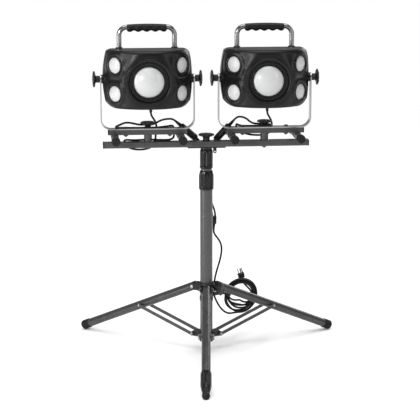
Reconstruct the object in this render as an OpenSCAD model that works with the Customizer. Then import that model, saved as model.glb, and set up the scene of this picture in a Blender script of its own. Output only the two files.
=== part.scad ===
// Twin-head work light on a telescoping tripod.
// Origin: on the floor, under the axis of the mast. +Z up, the crossbar lies along X,
// and the lamps shine towards -Y. Millimetres.

/* [Mast] */
// Outer diameter of the lowest mast tube
mast_d = 35; // [34:0.5:36]
// Outer diameter of the middle mast tube
middle_d = 30.5; // [30:0.5:31]
// Outer diameter of the top mast tube
inner_d = 25; // [24:0.5:25.5]
// Height of the lowest mast tube's bottom end
mast_bottom_z = 30; // [28:1:32]
// Height where the lower lock collar begins
lower_lock_z = 462; // [460:1:466]
// Length of each lock collar
lock_len = 53; // [50:1:54]

/* [Tripod] */
// Turn of the tripod about the mast, against the crossbar
tripod_turn = -5.5; // [-10:0.5:10]
// Diameter of the leg tubes
leg_d = 24; // [23:0.5:24]
// Distance of the hub and ring pivots from the mast axis
pivot_r = 37; // [36:0.5:38]
// Height of the leg pivots on the sliding hub
hub_z = 183; // [182:0.5:184]
// Height of the brace pivots on the fixed ring
ring_z = 46; // [45:0.5:47]
// Slope of an opened leg below the horizontal
leg_slope = 24.2; // [24:0.1:24.4]
// Distance along a leg from its pivot to the brace joint
brace_at = 193; // [192:0.5:194]
// Distance along a back leg from its pivot to the tip
back_leg_len = 421; // [419:1:422]
// Distance along the front leg from its pivot to the ball foot's centre
front_leg_len = 424; // [423:1:425]

/* [Crossbar] */
// Length of the crossbar
bar_len = 560; // [550:5:570]
// Depth of the crossbar, front to back
bar_depth = 28; // [26:1:28]
// Height of the crossbar's underside
bar_z = 582; // [582:1:583]
// Height of the crossbar's section
bar_h = 15; // [14:1:15]
// Distance of each lamp's post from the mast axis
post_x = 160; // [160:1:165]

/* [Lamp] */
// Height of the lamps' tilt axis
tilt_z = 770; // [770:1:774]
// Widest half-width of a lamp head
head_half_w = 121.5; // [120:0.5:122]
// Radius of the curved lamp face, seen from above
face_r = 128; // [127:0.5:130]
// Diameter of the domed centre lens
dome_d = 80; // [76:1:80]
// Diameter of each corner lens
corner_d = 41; // [38:1:42]
// Diameter of the handle tube
handle_d = 13.5; // [12:0.5:13.5]
// Thickness of the moulded shells
shell_t = 3; // [2.5:0.5:3]

/* [Cords] */
// Diameter of every cord
cord_d = 5.6; // [5:0.2:5.6]

/* [Hidden] */
$fn = 48;

// Fits
wall = 1.5;             // wall of the steel tubes
gap = 0.3;              // space between faces that turn or slide past each other
run = 0.05;             // radial clearance of a pin in its hole
pin_r = 3;              // pivot pins and rivets
stud_r = 4;             // threaded studs of the clamp knobs
press = 0.02;           // radial clearance of a sleeve pressed on its tube
seat = 0.2;             // space between parts that are clamped together
relief_tip_r = 3.4;     // small end of every strain relief
eps = 1;                // overshoot of a cutting body

// Colours
dark_steel = [0.33, 0.34, 0.35];
black = [0.09, 0.09, 0.10];
bright = [0.78, 0.79, 0.80];
frosted = [0.93, 0.94, 0.94];
board = [0.85, 0.84, 0.78];

// Mast stack
mast_top_z = lower_lock_z + 43;
upper_lock_z = lower_lock_z + 59;
middle_top_z = upper_lock_z + 42;
middle_bottom_z = 75;
inner_bottom_z = 105;
head_plate_t = 2.8;
inner_top_z = bar_z - 3;
head_plate_half = 52;
head_plate_half_w = 14;
head_socket_r = 15.6;
cleat_x = 23.5;         // eyelet under the head plate that guides the cords
cleat_drop = 12;
cleat_r = 4.5;
cleat_hole_r = 2.2;
lower_lock_r = 20.4;
upper_lock_r = 18;

// Tripod
front_az = -90 + tripod_turn;
right_az = 30 + tripod_turn;
left_az = 150 + tripod_turn;
knob_az = -30 + tripod_turn;
brace_u = pivot_r + brace_at * cos(leg_slope);
brace_z = hub_z - brace_at * sin(leg_slope);
brace_len = norm([brace_u - pivot_r, brace_z - ring_z]);
brace_slope = atan2(brace_z - ring_z, brace_u - pivot_r);
cheek_in = 12.6;        // inner face of a hub cheek, from the leg's plane
cheek_t = 4;
cheek_r = 9;
hub_r = 22.5;
hub_half_h = 11;
hub_boss_end = 36;      // face of the boss that the hub's knob clamps on
ring_r = 22;
ring_half_h = 8;
lug_r = 6.5;
lug_half_w = 15;
rivet_head_r = 4;
brace_eye_r = 5.5;
leg_boss_r = 6;
leg_nose = 22;          // solid length at the top of a leg
back_foot_r = 13.5;
back_foot_len = 26;
foot_wall = 4;          // rubber below the end of a leg
front_foot_r = 10.6;
ext_start = 215;
lock_cover = 48;        // how far the lock collar reaches over the leg tube
bar_in = 17.5;          // inner face of a brace bar, from the leg's plane
bar_t = 2.5;
brace_w = 9;
lock_s = 341;           // where the front leg's lock collar begins, along the leg
lock_s_len = 62;
ext_r = 10.2;           // extension tube of the front leg

// Lamp head, about its tilt axis
head_top = 82;
head_bottom = -74;
head_corner_r = 27;
head_side_r = 280;
face_centre_y = 40;
split_y = -14;          // joint between front shell and rear housing
rim_y = 22;             // where the rear housing steps in
back_y = 44;
back_inset = 14;
face_y = face_centre_y - face_r;
bezel_r = 63;
bezel_front_y = face_y - 4;
dome_base_y = face_y + 3;
dome_rise = 14;
corner_turn = 44.7;
corner_z = 38;
corner_mid_z = 4;
corner_rise = 4.5;      // height of a corner lens over its own plane
corner_ball_r = 48;
corner_bezel_r = corner_d / 2 + 6;
bezel_mouth_r = 52;
bezel_throat_r = 34;
bezel_depth = 30;
fin_pitch = 16;         // cooling fins on the back
fin_t = 3;
fin_h = 8;
fin_low = -32;
fin_top = 55;
boss_r = 12;
boss_inner_x = head_half_w - shell_t - 8;
gland_x = 9;
gland_y = 10;
gland_len = 22;
gland_r = 5.5;
handle_x = 75;
handle_y = 12;
handle_top = 138;
handle_bend_r = 21;
grip_len = 108;
rocker_z = -47;         // switch in the rear housing's back wall
rocker_tilt = 8;
rocker_half_w = 9.5;
rocker_barrel_r = 2.8;  // round back of the rocker, on its own axis
grip_r = 9.5;
finger_pitch = 23;      // swellings under the grip
finger_r = 8.5;
knob_stem_r = 9.5;

// Lamp stand and bracket, in world height
arm_x = 126.5;
strap_t = 3;
strap_w = 25;
strap_bend_r = 28;
beam_z = 618;
beam_h = 14;
beam_half = 106;
strap_z = beam_z + beam_h;
side_tube_x = 90;
side_tube_z = 611;
side_tube_r = 9.5;
side_tube_half = 80;
foot_r = 12;
bolt_x = 60;
bolt_play = 0.2;
bolt_head_r = 5;
nut_h = 3.6;
post_r = 11;            // spacer posts between crossbar and beams

// Connector between a lamp's cord and its branch cord, along its own axis
connector_y = 26;
left_connector_start = [77, connector_y, 649.5];
right_connector_start = [80.5, connector_y, 650];
left_connector_turn = 131;
right_connector_turn = 137;
connector_r = 10;
connector_len = 90;
plug_len = 38;

// Power cord coil
coil_at = [107, 90, 131];
coil_az = 19.5;
coil_r = 43;
coil_bundle_r = 8.5;
power_plug_at = [114.5, 110, 171];
power_plug_lean = 15;

// Cord routes, hand-laid points. Those of a lamp are about its own post.
left_drop_route = [[20, 23, 652], [24, 26, 642], [25, 27, 632], [24, 26, 622],
    [22.5, 24, 615], [22.5, 24, 611.4]];
left_loop_route = [[22.5, 24, 611], [22.5, 24, 606], [21, 24, 596], [17, 24, 586],
    [8, 24, 577], [-4, 24, 573], [-17, 24, 571.5], [-31, 24, 572], [-44, 24, 574.5],
    [-55, 24, 580], [-63, 23, 588], [-65, 19, 597], [-59, 14, 601], [-47, 11, 600.5],
    [-32, 12, 600], [-16, 15, 600], [0, 16, 600.2], [18, 14, 600.2], [34, 10, 600],
    [48, 8, 600], [61, 11, 600.3], [69, 16, 602.5], [72.5, 19, 606.5], [72.5, 19, 611]];
left_top_route = [[72.5, 19, 611.4], [72.5, 19, 617], [74, 20, 625], [73, 20, 632],
    [68, 16, 638.5], [58, 9, 638],
    [48, 3, 638], [36, -6, 638], [24, -12, 638], [8, -14, 638], [-10, -14, 638],
    [-28, -14, 638], [-46, -13, 638], [-60, -12, 638], [-74, -9, 638], [-84, -3, 638],
    [-88, 5, 638], [-84, 12, 639.5], [-75, 16, 642.5], [-64, 17, 647], [-52, 16, 648],
    [-37, 16, 645], [-22, 16, 642], [-8, 17, 641.5], [8, 17, 641.5], [17, 19, 642.2],
    [24, 19, 646], [32, 16, 651], [41, 13, 655], [51, 13, 656.8], [59.5, 17, 656.8],
    [66.5, 22.5, 655.6], [72, 25.8, 653.4], [76.7, 26, 649.8]];
right_route = [[20, 23, 652], [24, 26, 642], [25, 27, 632], [23, 26, 621], [15, 25, 612],
    [2, 24, 608], [-14, 24, 607], [-30, 24, 608], [-46, 24, 611], [-60, 23, 617],
    [-70, 20.5, 625], [-75, 18, 632], [-76, 15.5, 638], [-75.5, 8, 640.8], [-72, -2, 640.5],
    [-64, -10, 639], [-52, -13, 639], [-36, -14, 639], [-18, -15, 639], [0, -15, 639],
    [15, -11, 639], [20, 0, 639], [15, 11, 639], [3, 17, 639], [-12, 18, 639.5],
    [-25, 14, 641], [-35, 9, 645], [-42, 6, 650.5], [-48.5, 5, 656], [-56, 7, 659.5],
    [-64, 13.5, 660.5], [-71.5, 21, 658.6], [-76.8, 25.8, 654], [-80.3, 26, 650.3]];
power_route = [[84.4, 82, 82.2], [74, 74.5, 83], [62, 66, 89], [50, 58, 100], [40, 51, 115],
    [32, 46, 131], [26, 42, 147], [24, 39, 162], [25, 40, 178], [28, 43, 194], [32, 47, 210],
    [37, 50, 226], [42, 52, 242], [46, 52, 259], [48, 51, 276], [46, 48, 293],
    [39, 44, 308], [31, 41, 319], [25, 40, 329.5], [24.5, 40, 339.8]];
left_branch = [[20.5, 40, 375.2], [20.5, 40, 384], [16, 40, 398], [10, 39, 412], [4, 38, 427],
    [0, 36, 443], [-3, 34, 459], [-5, 32.5, 475], [-6, 31.5, 490], [-7, 31, 505],
    [-7, 31, 519], [-6, 31, 536], [-4, 31, 552], [-5, 30, 563], [-8, 28, 572],
    [-9.5, 27.3, 576]];
right_branch = [[28.5, 40, 375.2], [28.5, 40, 384], [25, 40, 398], [20, 39, 412],
    [16, 38, 427], [13, 36, 443], [11, 34, 459], [10, 32.5, 475], [9, 31.5, 490],
    [8, 31, 505], [7, 31, 519], [5, 31, 536], [4, 31, 552], [5, 30, 563], [8, 28, 572],
    [9.5, 27.3, 576]];
splitter_at = [24.5, 40, 340];
splitter_len = 35;

// ---------- helpers ----------

module at_leg(az) {
    rotate([0, 0, az]) children();
}

// X runs down the opened leg from its hub pivot
module along_leg(az) {
    at_leg(az) translate([pivot_r, 0, hub_z]) rotate([0, leg_slope, 0]) children();
}

module x_rod(r, x0, x1) {
    translate([x0, 0, 0]) rotate([0, 90, 0]) cylinder(r = r, h = x1 - x0);
}

module y_rod(r, y0, y1) {
    translate([0, y1, 0]) rotate([90, 0, 0]) cylinder(r = r, h = y1 - y0);
}

module z_rod(r, z0, z1) {
    translate([0, 0, z0]) cylinder(r = r, h = z1 - z0);
}

module box(x0, x1, y0, y1, z0, z1) {
    translate([x0, y0, z0]) cube([x1 - x0, y1 - y0, z1 - z0]);
}

// A profile drawn in X and Z, given depth along Y
module extrude_y(y0, y1) {
    translate([0, y1, 0]) rotate([90, 0, 0]) linear_extrude(y1 - y0) children();
}

module tube_z(r, t, z0, z1) {
    difference() {
        z_rod(r, z0, z1);
        z_rod(r - t, z0 - 1, z1 + 1);
    }
}

function unit(v) = v / norm(v);
function tangent(path, i) =
    unit(path[min(i + 1, len(path) - 1)] - path[max(i - 1, 0)]);
function square_to(v, t) = unit(v - (v * t) * t);
function side_normals(path, first) = [
    for (i = 0, n = square_to(first, tangent(path, 0)); i < len(path);
        i = i + 1, n = i < len(path) ? square_to(n, tangent(path, i)) : n) n
];

// A round cord swept along its route, one ring of points at each route point
module cord(path, r = cord_d / 2, sides = 8) {
    normals = side_normals(path, [0.31, 0.95, 0.1]);
    count = len(path);
    rings = [
        for (i = [0 : count - 1])
            let (n = normals[i], b = cross(tangent(path, i), n))
                for (k = [0 : sides - 1])
                    path[i] + r * (cos(360 * k / sides) * n + sin(360 * k / sides) * b)
    ];
    walls = [
        for (i = [0 : count - 2])
            for (k = [0 : sides - 1])
                let (a = i * sides + k, c = i * sides + (k + 1) % sides)
                    each [[a, a + sides, c], [c, a + sides, c + sides]]
    ];
    near_end = [for (k = [0 : sides - 1]) k];
    far_end = [for (k = [sides - 1 : -1 : 0]) (count - 1) * sides + k];
    polyhedron(points = rings, faces = concat(walls, [near_end, far_end]));
}

// Star knob: stud downwards from z = 0, stem, then the lobed disc
module star_knob(stud_len, stem_r, stem_h, disc_r, disc_h, lobes = 6) {
    z_rod(stud_r, -stud_len, 1);
    z_rod(stem_r, 0, stem_h + 1);
    translate([0, 0, stem_h]) linear_extrude(disc_h) {
        circle(r = disc_r - 5);
        for (i = [0 : lobes - 1]) {
            rotate(i * 360 / lobes) translate([disc_r - 6, 0]) circle(r = 6);
        }
    }
    z_rod(disc_r - 10, stem_h, stem_h + disc_h + 1.2);
}

// Grip collar of a twist lock: wide bore below, throat above, grooves round it
module lock_collar(r, bore_r, throat_r, len, bore_len) {
    difference() {
        union() {
            z_rod(r, 0, len - 8);
            translate([0, 0, len - 8]) cylinder(r1 = r, r2 = r - 2, h = 8);
        }
        z_rod(bore_r, -1, bore_len);
        z_rod(throat_r, -1, len + 1);
        for (i = [0 : 11]) {
            rotate([0, 0, i * 30]) translate([r + 1.6, 0, 8]) cylinder(r = 2.6, h = len - 20);
        }
    }
}

// ---------- mast ----------

module mast_tube() color(dark_steel) {
    tube_z(mast_d / 2, wall, mast_bottom_z, mast_top_z);
}

module middle_tube() color(dark_steel) {
    tube_z(middle_d / 2, wall, middle_bottom_z, middle_top_z);
}

module inner_tube() color(dark_steel) {
    tube_z(inner_d / 2, wall, inner_bottom_z, inner_top_z);
}

module lower_lock_collar() color(black) {
    translate([0, 0, lower_lock_z])
        lock_collar(lower_lock_r, mast_d / 2 + gap, middle_d / 2 + gap, lock_len,
            mast_top_z - lower_lock_z + gap);
}

module upper_lock_collar() color(black) {
    translate([0, 0, upper_lock_z])
        lock_collar(upper_lock_r, middle_d / 2 + gap, inner_d / 2 + gap, lock_len,
            middle_top_z - upper_lock_z + gap);
}

// Socket, plate and cord cleat that carry the crossbar
module mast_head() color(black) {
    plate_z = bar_z - seat - head_plate_t;
    socket_z = upper_lock_z + lock_len + 0.8;
    cleat_half_t = 3;
    difference() {
        union() {
            box(-head_plate_half, head_plate_half, -head_plate_half_w, head_plate_half_w,
                plate_z, plate_z + head_plate_t);
            z_rod(head_socket_r, socket_z, plate_z + eps);
            box(cleat_x - cleat_r, cleat_x + cleat_r, -cleat_half_t, cleat_half_t,
                plate_z - cleat_drop, plate_z + eps);
            translate([cleat_x, 0, plate_z - cleat_drop])
                y_rod(cleat_r, -cleat_half_t, cleat_half_t);
        }
        z_rod(inner_d / 2, socket_z - eps, inner_top_z + 0.001);
        z_rod(stud_r + run, inner_top_z - eps, bar_z);
        translate([cleat_x, 0, plate_z - cleat_drop])
            y_rod(cleat_hole_r, -cleat_half_t - eps, cleat_half_t + eps);
    }
}

// ---------- tripod ----------

module leg_hub() color(black) {
    cheek_out = cheek_in + cheek_t;
    difference() {
        union() {
            translate([0, 0, hub_z]) z_rod(hub_r, -hub_half_h, hub_half_h);
            for (az = [front_az, right_az, left_az], side = [-1, 1]) {
                at_leg(az) translate([0, side * (cheek_in + cheek_t / 2), hub_z]) {
                    box(14, pivot_r, -cheek_t / 2, cheek_t / 2, -cheek_r, cheek_r);
                    translate([pivot_r, 0, 0]) y_rod(cheek_r, -cheek_t / 2, cheek_t / 2);
                }
            }
            at_leg(knob_az) translate([0, 0, hub_z]) x_rod(8, 19, hub_boss_end);
        }
        z_rod(mast_d / 2 + gap, hub_z - 20, hub_z + 20);
        at_leg(knob_az) translate([0, 0, hub_z]) x_rod(stud_r + run, 10, hub_boss_end + eps);
    }
    for (az = [front_az, right_az, left_az]) {
        at_leg(az) translate([pivot_r, 0, hub_z]) {
            y_rod(pin_r, -cheek_out, cheek_out);
            y_rod(rivet_head_r + 1, cheek_out, cheek_out + 2);
            y_rod(rivet_head_r + 1, -cheek_out - 2, -cheek_out);
        }
    }
}

module hub_knob() color(black) {
    at_leg(knob_az) translate([hub_boss_end + 0.5, 0, hub_z]) rotate([0, 90, 0])
        star_knob(17.5, 9.5, 4, 19, 9, 5);
}

module brace_ring() color(black) {
    difference() {
        union() {
            translate([0, 0, ring_z]) z_rod(ring_r, -ring_half_h, ring_half_h);
            for (az = [front_az, right_az, left_az]) {
                at_leg(az) translate([0, 0, ring_z]) {
                    box(14, pivot_r, -lug_half_w, lug_half_w, -lug_r, lug_r);
                    translate([pivot_r, 0, 0]) y_rod(lug_r, -lug_half_w, lug_half_w);
                }
            }
            for (az = [front_az + 60, right_az + 60, left_az + 60]) {
                at_leg(az) translate([0, 0, ring_z - 11]) x_rod(3, 18.5, 24);
            }
            translate([0, 0, ring_z]) z_rod(ring_r - 2, -15, 0);
        }
        z_rod(mast_d / 2 + press, ring_z - 20, ring_z + 20);
        for (az = [front_az, right_az, left_az]) {
            at_leg(az) translate([pivot_r, 0, ring_z])
                y_rod(pin_r + run, -lug_half_w - eps, lug_half_w + eps);
        }
    }
}

// Steel leg tube: solid nose with the pivot hole, two bosses for the brace
module leg_tube(az, len) color(dark_steel) {
    along_leg(az) difference() {
        union() {
            x_rod(leg_d / 2, -6, len);
            translate([brace_at, 0, 0]) y_rod(leg_boss_r, -bar_in + gap, bar_in - gap);
        }
        x_rod(leg_d / 2 - wall, leg_nose, len + eps);
        y_rod(pin_r + run, -20, 20);
    }
}

module front_leg_tube() leg_tube(front_az, lock_s + lock_cover);
module right_leg_tube() leg_tube(right_az, back_leg_len - foot_wall);
module left_leg_tube() leg_tube(left_az, back_leg_len - foot_wall);

// Keeps a foot above the floor, which gives it its flat sole
module above_floor() {
    intersection() {
        children();
        translate([-600, -600, 0]) cube([1200, 1200, 300]);
    }
}

module back_foot(az) color(black) {
    above_floor() along_leg(az) difference() {
        x_rod(back_foot_r, back_leg_len - back_foot_len, back_leg_len);
        x_rod(leg_d / 2, back_leg_len - back_foot_len - eps, back_leg_len - foot_wall);
    }
}

module right_foot() back_foot(right_az);
module left_foot() back_foot(left_az);

// Extension tube of the front leg with its ball foot
module front_foot() color(black) {
    above_floor() along_leg(front_az) {
        difference() {
            x_rod(ext_r, ext_start, front_leg_len - foot_wall);
            x_rod(ext_r - wall, ext_start - eps, front_leg_len - 20);
        }
        translate([front_leg_len, 0, 0]) sphere(r = front_foot_r);
    }
}

module front_leg_lock() color(black) {
    along_leg(front_az) translate([lock_s, 0, 0]) rotate([0, 90, 0])
        lock_collar(14.4, leg_d / 2 + gap, ext_r + gap, lock_s_len, lock_cover + gap);
}

// Two flat bars joined by the rivet that turns in the ring's lug
module brace(az) color(dark_steel) {
    bar_out = bar_in + bar_t;
    at_leg(az) translate([pivot_r, 0, ring_z]) rotate([0, -brace_slope, 0]) {
        for (side = [-1, 1]) {
            translate([0, side * (bar_in + bar_t / 2), 0]) {
                box(0, brace_len, -bar_t / 2, bar_t / 2, -brace_w / 2, brace_w / 2);
                y_rod(brace_eye_r, -bar_t / 2, bar_t / 2);
                translate([brace_len, 0, 0]) y_rod(brace_eye_r, -bar_t / 2, bar_t / 2);
            }
            for (x = [0, brace_len]) {
                translate([x, side * (bar_out + 0.7), 0]) y_rod(rivet_head_r, -0.8, 0.8);
            }
        }
        y_rod(pin_r, -bar_out, bar_out);
    }
}

module front_brace() brace(front_az);
module right_brace() brace(right_az);
module left_brace() brace(left_az);

// ---------- crossbar ----------

module crossbar() color(dark_steel) {
    difference() {
        union() {
            difference() {
                box(-bar_len / 2, bar_len / 2, -bar_depth / 2, bar_depth / 2, bar_z, bar_z + bar_h);
                box(-bar_len, bar_len, -bar_depth / 2 + wall, bar_depth / 2 - wall,
                    bar_z + wall, bar_z + bar_h - wall);
            }
            for (side = [-1, 1]) {
                translate([side * post_x, 0, 0]) z_rod(post_r, bar_z + 0.5, beam_z - seat);
            }
        }
        z_rod(stud_r + run, bar_z - 1, bar_z + bar_h + 1);
        for (side = [-1, 1]) {
            translate([side * post_x, 0, 0]) z_rod(stud_r + run, bar_z + 6, beam_z + 1);
        }
    }
}

module crossbar_end_caps() color(black) {
    lip = 0.5;
    tongue_in = wall + 0.1;
    for (side = [-1, 1]) {
        translate([side * bar_len / 2, 0, 0]) mirror([side < 0 ? 1 : 0, 0, 0]) {
            box(0, 3, -bar_depth / 2 - lip, bar_depth / 2 + lip, bar_z - lip, bar_z + bar_h + lip);
            box(-12, 1, -bar_depth / 2 + tongue_in, bar_depth / 2 - tongue_in,
                bar_z + tongue_in, bar_z + bar_h - tongue_in);
        }
    }
}

module centre_knob() color(black) {
    translate([0, 0, bar_z + bar_h + gap]) star_knob(17.6, knob_stem_r, 11.5, 22, 9);
}

// ---------- lamp stand ----------

module lamp_at(side) {
    translate([side * post_x, 0, 0]) children();
}

// Flat steel strap bent to a U, with a round eye at the top of each arm
module u_bracket(side) color(bright) {
    out_r = strap_bend_r;
    lamp_at(side) difference() {
        union() {
            extrude_y(-strap_w / 2, strap_w / 2) difference() {
                union() {
                    translate([-arm_x - strap_t / 2, strap_z + out_r])
                        square([2 * arm_x + strap_t, tilt_z - strap_z - out_r]);
                    translate([-arm_x - strap_t / 2 + out_r, strap_z])
                        square([2 * arm_x + strap_t - 2 * out_r, out_r + 1]);
                    for (s = [-1, 1]) {
                        translate([s * (arm_x + strap_t / 2 - out_r), strap_z + out_r])
                            circle(r = out_r);
                    }
                }
                translate([-arm_x + strap_t / 2, strap_z + out_r])
                    square([2 * arm_x - strap_t, tilt_z]);
                translate([-arm_x - strap_t / 2 + out_r, strap_z + strap_t])
                    square([2 * arm_x + strap_t - 2 * out_r, out_r]);
                for (s = [-1, 1]) {
                    translate([s * (arm_x + strap_t / 2 - out_r), strap_z + out_r])
                        circle(r = out_r - strap_t);
                }
            }
            for (s = [-1, 1]) {
                translate([s * arm_x, 0, tilt_z]) x_rod(strap_w / 2, -strap_t / 2, strap_t / 2);
            }
        }
        translate([0, 0, tilt_z]) x_rod(stud_r + run, -arm_x - 5, arm_x + 5);
        z_rod(stud_r + 0.5, strap_z - eps, strap_z + strap_t + eps);
        for (s = [-1, 1]) {
            translate([s * bolt_x, 0, 0])
                z_rod(pin_r + bolt_play, strap_z - eps, strap_z + strap_t + eps);
        }
    }
}

// Beam, two skid tubes and the two bolts that hold the strap
module stand_frame(side) color(dark_steel) lamp_at(side) {
    difference() {
        union() {
            box(-beam_half, beam_half, -strap_w / 2, strap_w / 2, beam_z, strap_z - press);
            for (s = [-1, 1]) {
                translate([s * side_tube_x, 0, side_tube_z])
                    y_rod(side_tube_r, -side_tube_half, side_tube_half);
            }
        }
        difference() {
            box(-beam_half - 1, beam_half + 1, -strap_w / 2 + wall, strap_w / 2 - wall,
                beam_z + wall, strap_z - wall);
            for (x = [-bolt_x, 0, bolt_x]) {
                translate([x, 0, 0]) z_rod(7, beam_z, strap_z);
            }
            for (s = [-1, 1]) {
                translate([s * side_tube_x, 0, side_tube_z]) y_rod(side_tube_r, -20, 20);
            }
        }
        for (s = [-1, 1]) {
            translate([s * side_tube_x, 0, side_tube_z])
                y_rod(side_tube_r - wall, -side_tube_half - 1, side_tube_half + 1);
            translate([s * bolt_x, 0, 0]) z_rod(pin_r + bolt_play, beam_z - eps, strap_z + eps);
        }
        z_rod(stud_r + 0.5, beam_z - eps, strap_z + eps);
    }
    for (s = [-1, 1]) {
        translate([s * bolt_x, 0, 0]) {
            z_rod(pin_r, beam_z - 5, strap_z + strap_t + 1);
            translate([0, 0, beam_z - seat - nut_h]) cylinder(r = bolt_head_r, h = nut_h, $fn = 6);
            z_rod(bolt_head_r, strap_z + strap_t + 0.1, strap_z + strap_t + nut_h);
        }
    }
}

// Rubber caps on the skid tubes and plugs in the beam's ends
module stand_feet(side) color(black) lamp_at(side) {
    for (s = [-1, 1], e = [-1, 1]) {
        translate([s * side_tube_x, e * side_tube_half, side_tube_z])
            mirror([0, e < 0 ? 1 : 0, 0]) difference() {
                y_rod(foot_r, -8, 10);
                y_rod(side_tube_r + press, -9, press);
            }
    }
    for (s = [-1, 1]) {
        translate([s * beam_half, 0, 0]) mirror([s < 0 ? 1 : 0, 0, 0])
            box(press, 3, -strap_w / 2, strap_w / 2, beam_z, strap_z - press);
    }
}

module clamp_knob(side) color(black) {
    lamp_at(side) translate([0, 0, strap_z + strap_t + gap])
        star_knob(30, 8.5, 9.5, 20.5, 8.5);
}

// Side knob of the tilt axis: s = -1 or 1 picks the lamp's left or right arm
module side_knob(side, s) color(black) {
    lamp_at(side) translate([s * (arm_x + strap_t / 2 + gap), 0, tilt_z])
        mirror([s < 0 ? 1 : 0, 0, 0]) rotate([0, 90, 0]) star_knob(15, knob_stem_r, 12, 22, 8);
}

// Plug and socket on one slanting axis, tapered at both cord ends
module connector(side) color(black) {
    relief_len = 20;
    socket_end = 74;
    start = side > 0 ? right_connector_start : left_connector_start;
    turned = side > 0 ? right_connector_turn : left_connector_turn;
    lamp_at(side) mirror([side > 0 ? 1 : 0, 0, 0]) translate(start) rotate([0, turned, 0]) {
        cylinder(r1 = relief_tip_r, r2 = 5.4, h = relief_len);
        z_rod(connector_r - 0.6, relief_len, plug_len);
        z_rod(connector_r, plug_len + seat, socket_end);
        translate([0, 0, socket_end])
            cylinder(r1 = connector_r, r2 = relief_tip_r, h = connector_len - socket_end);
    }
}

// ---------- lamp head ----------

module head_at(side) {
    translate([side * post_x, 0, tilt_z]) children();
}

// Outline of the head seen from the front, drawn inset by a wall
module face_outline(inset) {
    w = head_half_w - inset;
    top = head_top - inset;
    low = head_bottom + inset;
    r = head_corner_r - inset;
    intersection() {
        union() {
            translate([-w + r, low]) square([2 * (w - r), top - low]);
            translate([-w, low + r]) square([2 * w, top - low - 2 * r]);
            for (x = [-w + r, w - r], y = [low + r, top - r]) {
                translate([x, y]) circle(r = r);
            }
        }
        translate([head_side_r - w, corner_mid_z]) circle(r = head_side_r, $fn = 120);
        translate([w - head_side_r, corner_mid_z]) circle(r = head_side_r, $fn = 120);
    }
}

module face_round(r) {
    translate([0, face_centre_y, -100]) cylinder(r = r, h = 220, $fn = 160);
}

// Places children on a corner of the face, with Z along the face's normal
module at_corner(sx, sz) {
    translate([0, face_centre_y, corner_mid_z + sz * corner_z]) rotate([0, 0, sx * corner_turn])
        translate([0, -face_r, 0]) rotate([90, 0, 0]) children();
}

module front_shell(side) color(black) head_at(side) difference() {
    intersection() {
        extrude_y(face_y - 5, split_y - 0.1) face_outline(0);
        face_round(face_r);
    }
    intersection() {
        extrude_y(face_y - 5, split_y + 1) face_outline(shell_t);
        face_round(face_r - shell_t);
    }
    y_rod(bezel_r + run, face_y - 20, face_y + 40);
    for (sx = [-1, 1], sz = [-1, 1]) {
        at_corner(sx, sz) z_rod(corner_bezel_r + run, -20, 20);
    }
}

module rear_housing(side) color(black) head_at(side) {
    difference() {
        union() {
            intersection() {
                extrude_y(split_y, rim_y) face_outline(0);
                face_round(face_r);
            }
            extrude_y(rim_y - 1, back_y) face_outline(back_inset);
            for (i = [-5 : 5]) {
                box(i * fin_pitch - fin_t / 2, i * fin_pitch + fin_t / 2,
                    back_y - eps, back_y + fin_h, fin_low, fin_top);
            }
        }
        intersection() {
            extrude_y(split_y - 1, rim_y - shell_t) face_outline(shell_t);
            face_round(face_r - shell_t);
        }
        extrude_y(rim_y - shell_t - 1, back_y - shell_t) face_outline(back_inset + shell_t);
        for (s = [-1, 1]) {
            translate([s * handle_x, handle_y, 0])
                z_rod(handle_d / 2 + run, head_top - 20, head_top + 5);
        }
        translate([gland_x, gland_y, 0]) z_rod(gland_r + run, head_bottom - 5, head_bottom + 10);
        box(-rocker_half_w - 0.5, rocker_half_w + 0.5, back_y - 10, back_y + 12,
            rocker_z - 9, rocker_z + 9);
        for (s = [-1, 1]) {
            mirror([s < 0 ? 1 : 0, 0, 0]) x_rod(stud_r + run, boss_inner_x - 5, arm_x);
        }
    }
    for (s = [-1, 1]) {
        mirror([s < 0 ? 1 : 0, 0, 0]) difference() {
            x_rod(boss_r, boss_inner_x, arm_x - strap_t / 2 - gap);
            x_rod(stud_r + run, boss_inner_x - 5, arm_x);
        }
    }
    translate([gland_x, gland_y, 0]) {
        z_rod(gland_r, head_bottom - 2, head_bottom + 6);
        translate([0, 0, head_bottom - gland_len])
            cylinder(r1 = relief_tip_r, r2 = gland_r - 0.5, h = gland_len);
    }
}

// Raised rings round the five lenses
module lens_bezels(side) color(black) head_at(side) {
    difference() {
        y_rod(bezel_r, bezel_front_y, face_y + bezel_depth);
        y_rod(bezel_mouth_r, bezel_front_y - eps, bezel_front_y + 6);
        y_rod(dome_d / 2 + 3, bezel_front_y - eps, face_y + 9);
        y_rod(bezel_r - 3, face_y + 12, face_y + bezel_depth + eps);
        y_rod(bezel_throat_r, bezel_front_y - eps, face_y + bezel_depth + eps);
    }
    for (sx = [-1, 1], sz = [-1, 1]) {
        at_corner(sx, sz) difference() {
            z_rod(corner_bezel_r, -9, 3.5);
            z_rod(corner_d / 2 + run, -3, 4);
            z_rod(corner_d / 2 - 3, -10, 4);
        }
    }
}

module lenses(side) color(frosted) head_at(side) {
    dome_r = dome_d / 2;
    ball_r = (dome_r * dome_r + dome_rise * dome_rise) / (2 * dome_rise);
    intersection() {
        y_rod(dome_r, dome_base_y - dome_rise - 1, dome_base_y + 6);
        translate([0, dome_base_y - dome_rise + ball_r, 0]) sphere(r = ball_r, $fn = 96);
    }
    for (sx = [-1, 1], sz = [-1, 1]) {
        at_corner(sx, sz) intersection() {
            z_rod(corner_d / 2, -2.9, 10);
            translate([0, 0, corner_rise - corner_ball_r]) sphere(r = corner_ball_r, $fn = 96);
        }
    }
}

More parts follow.
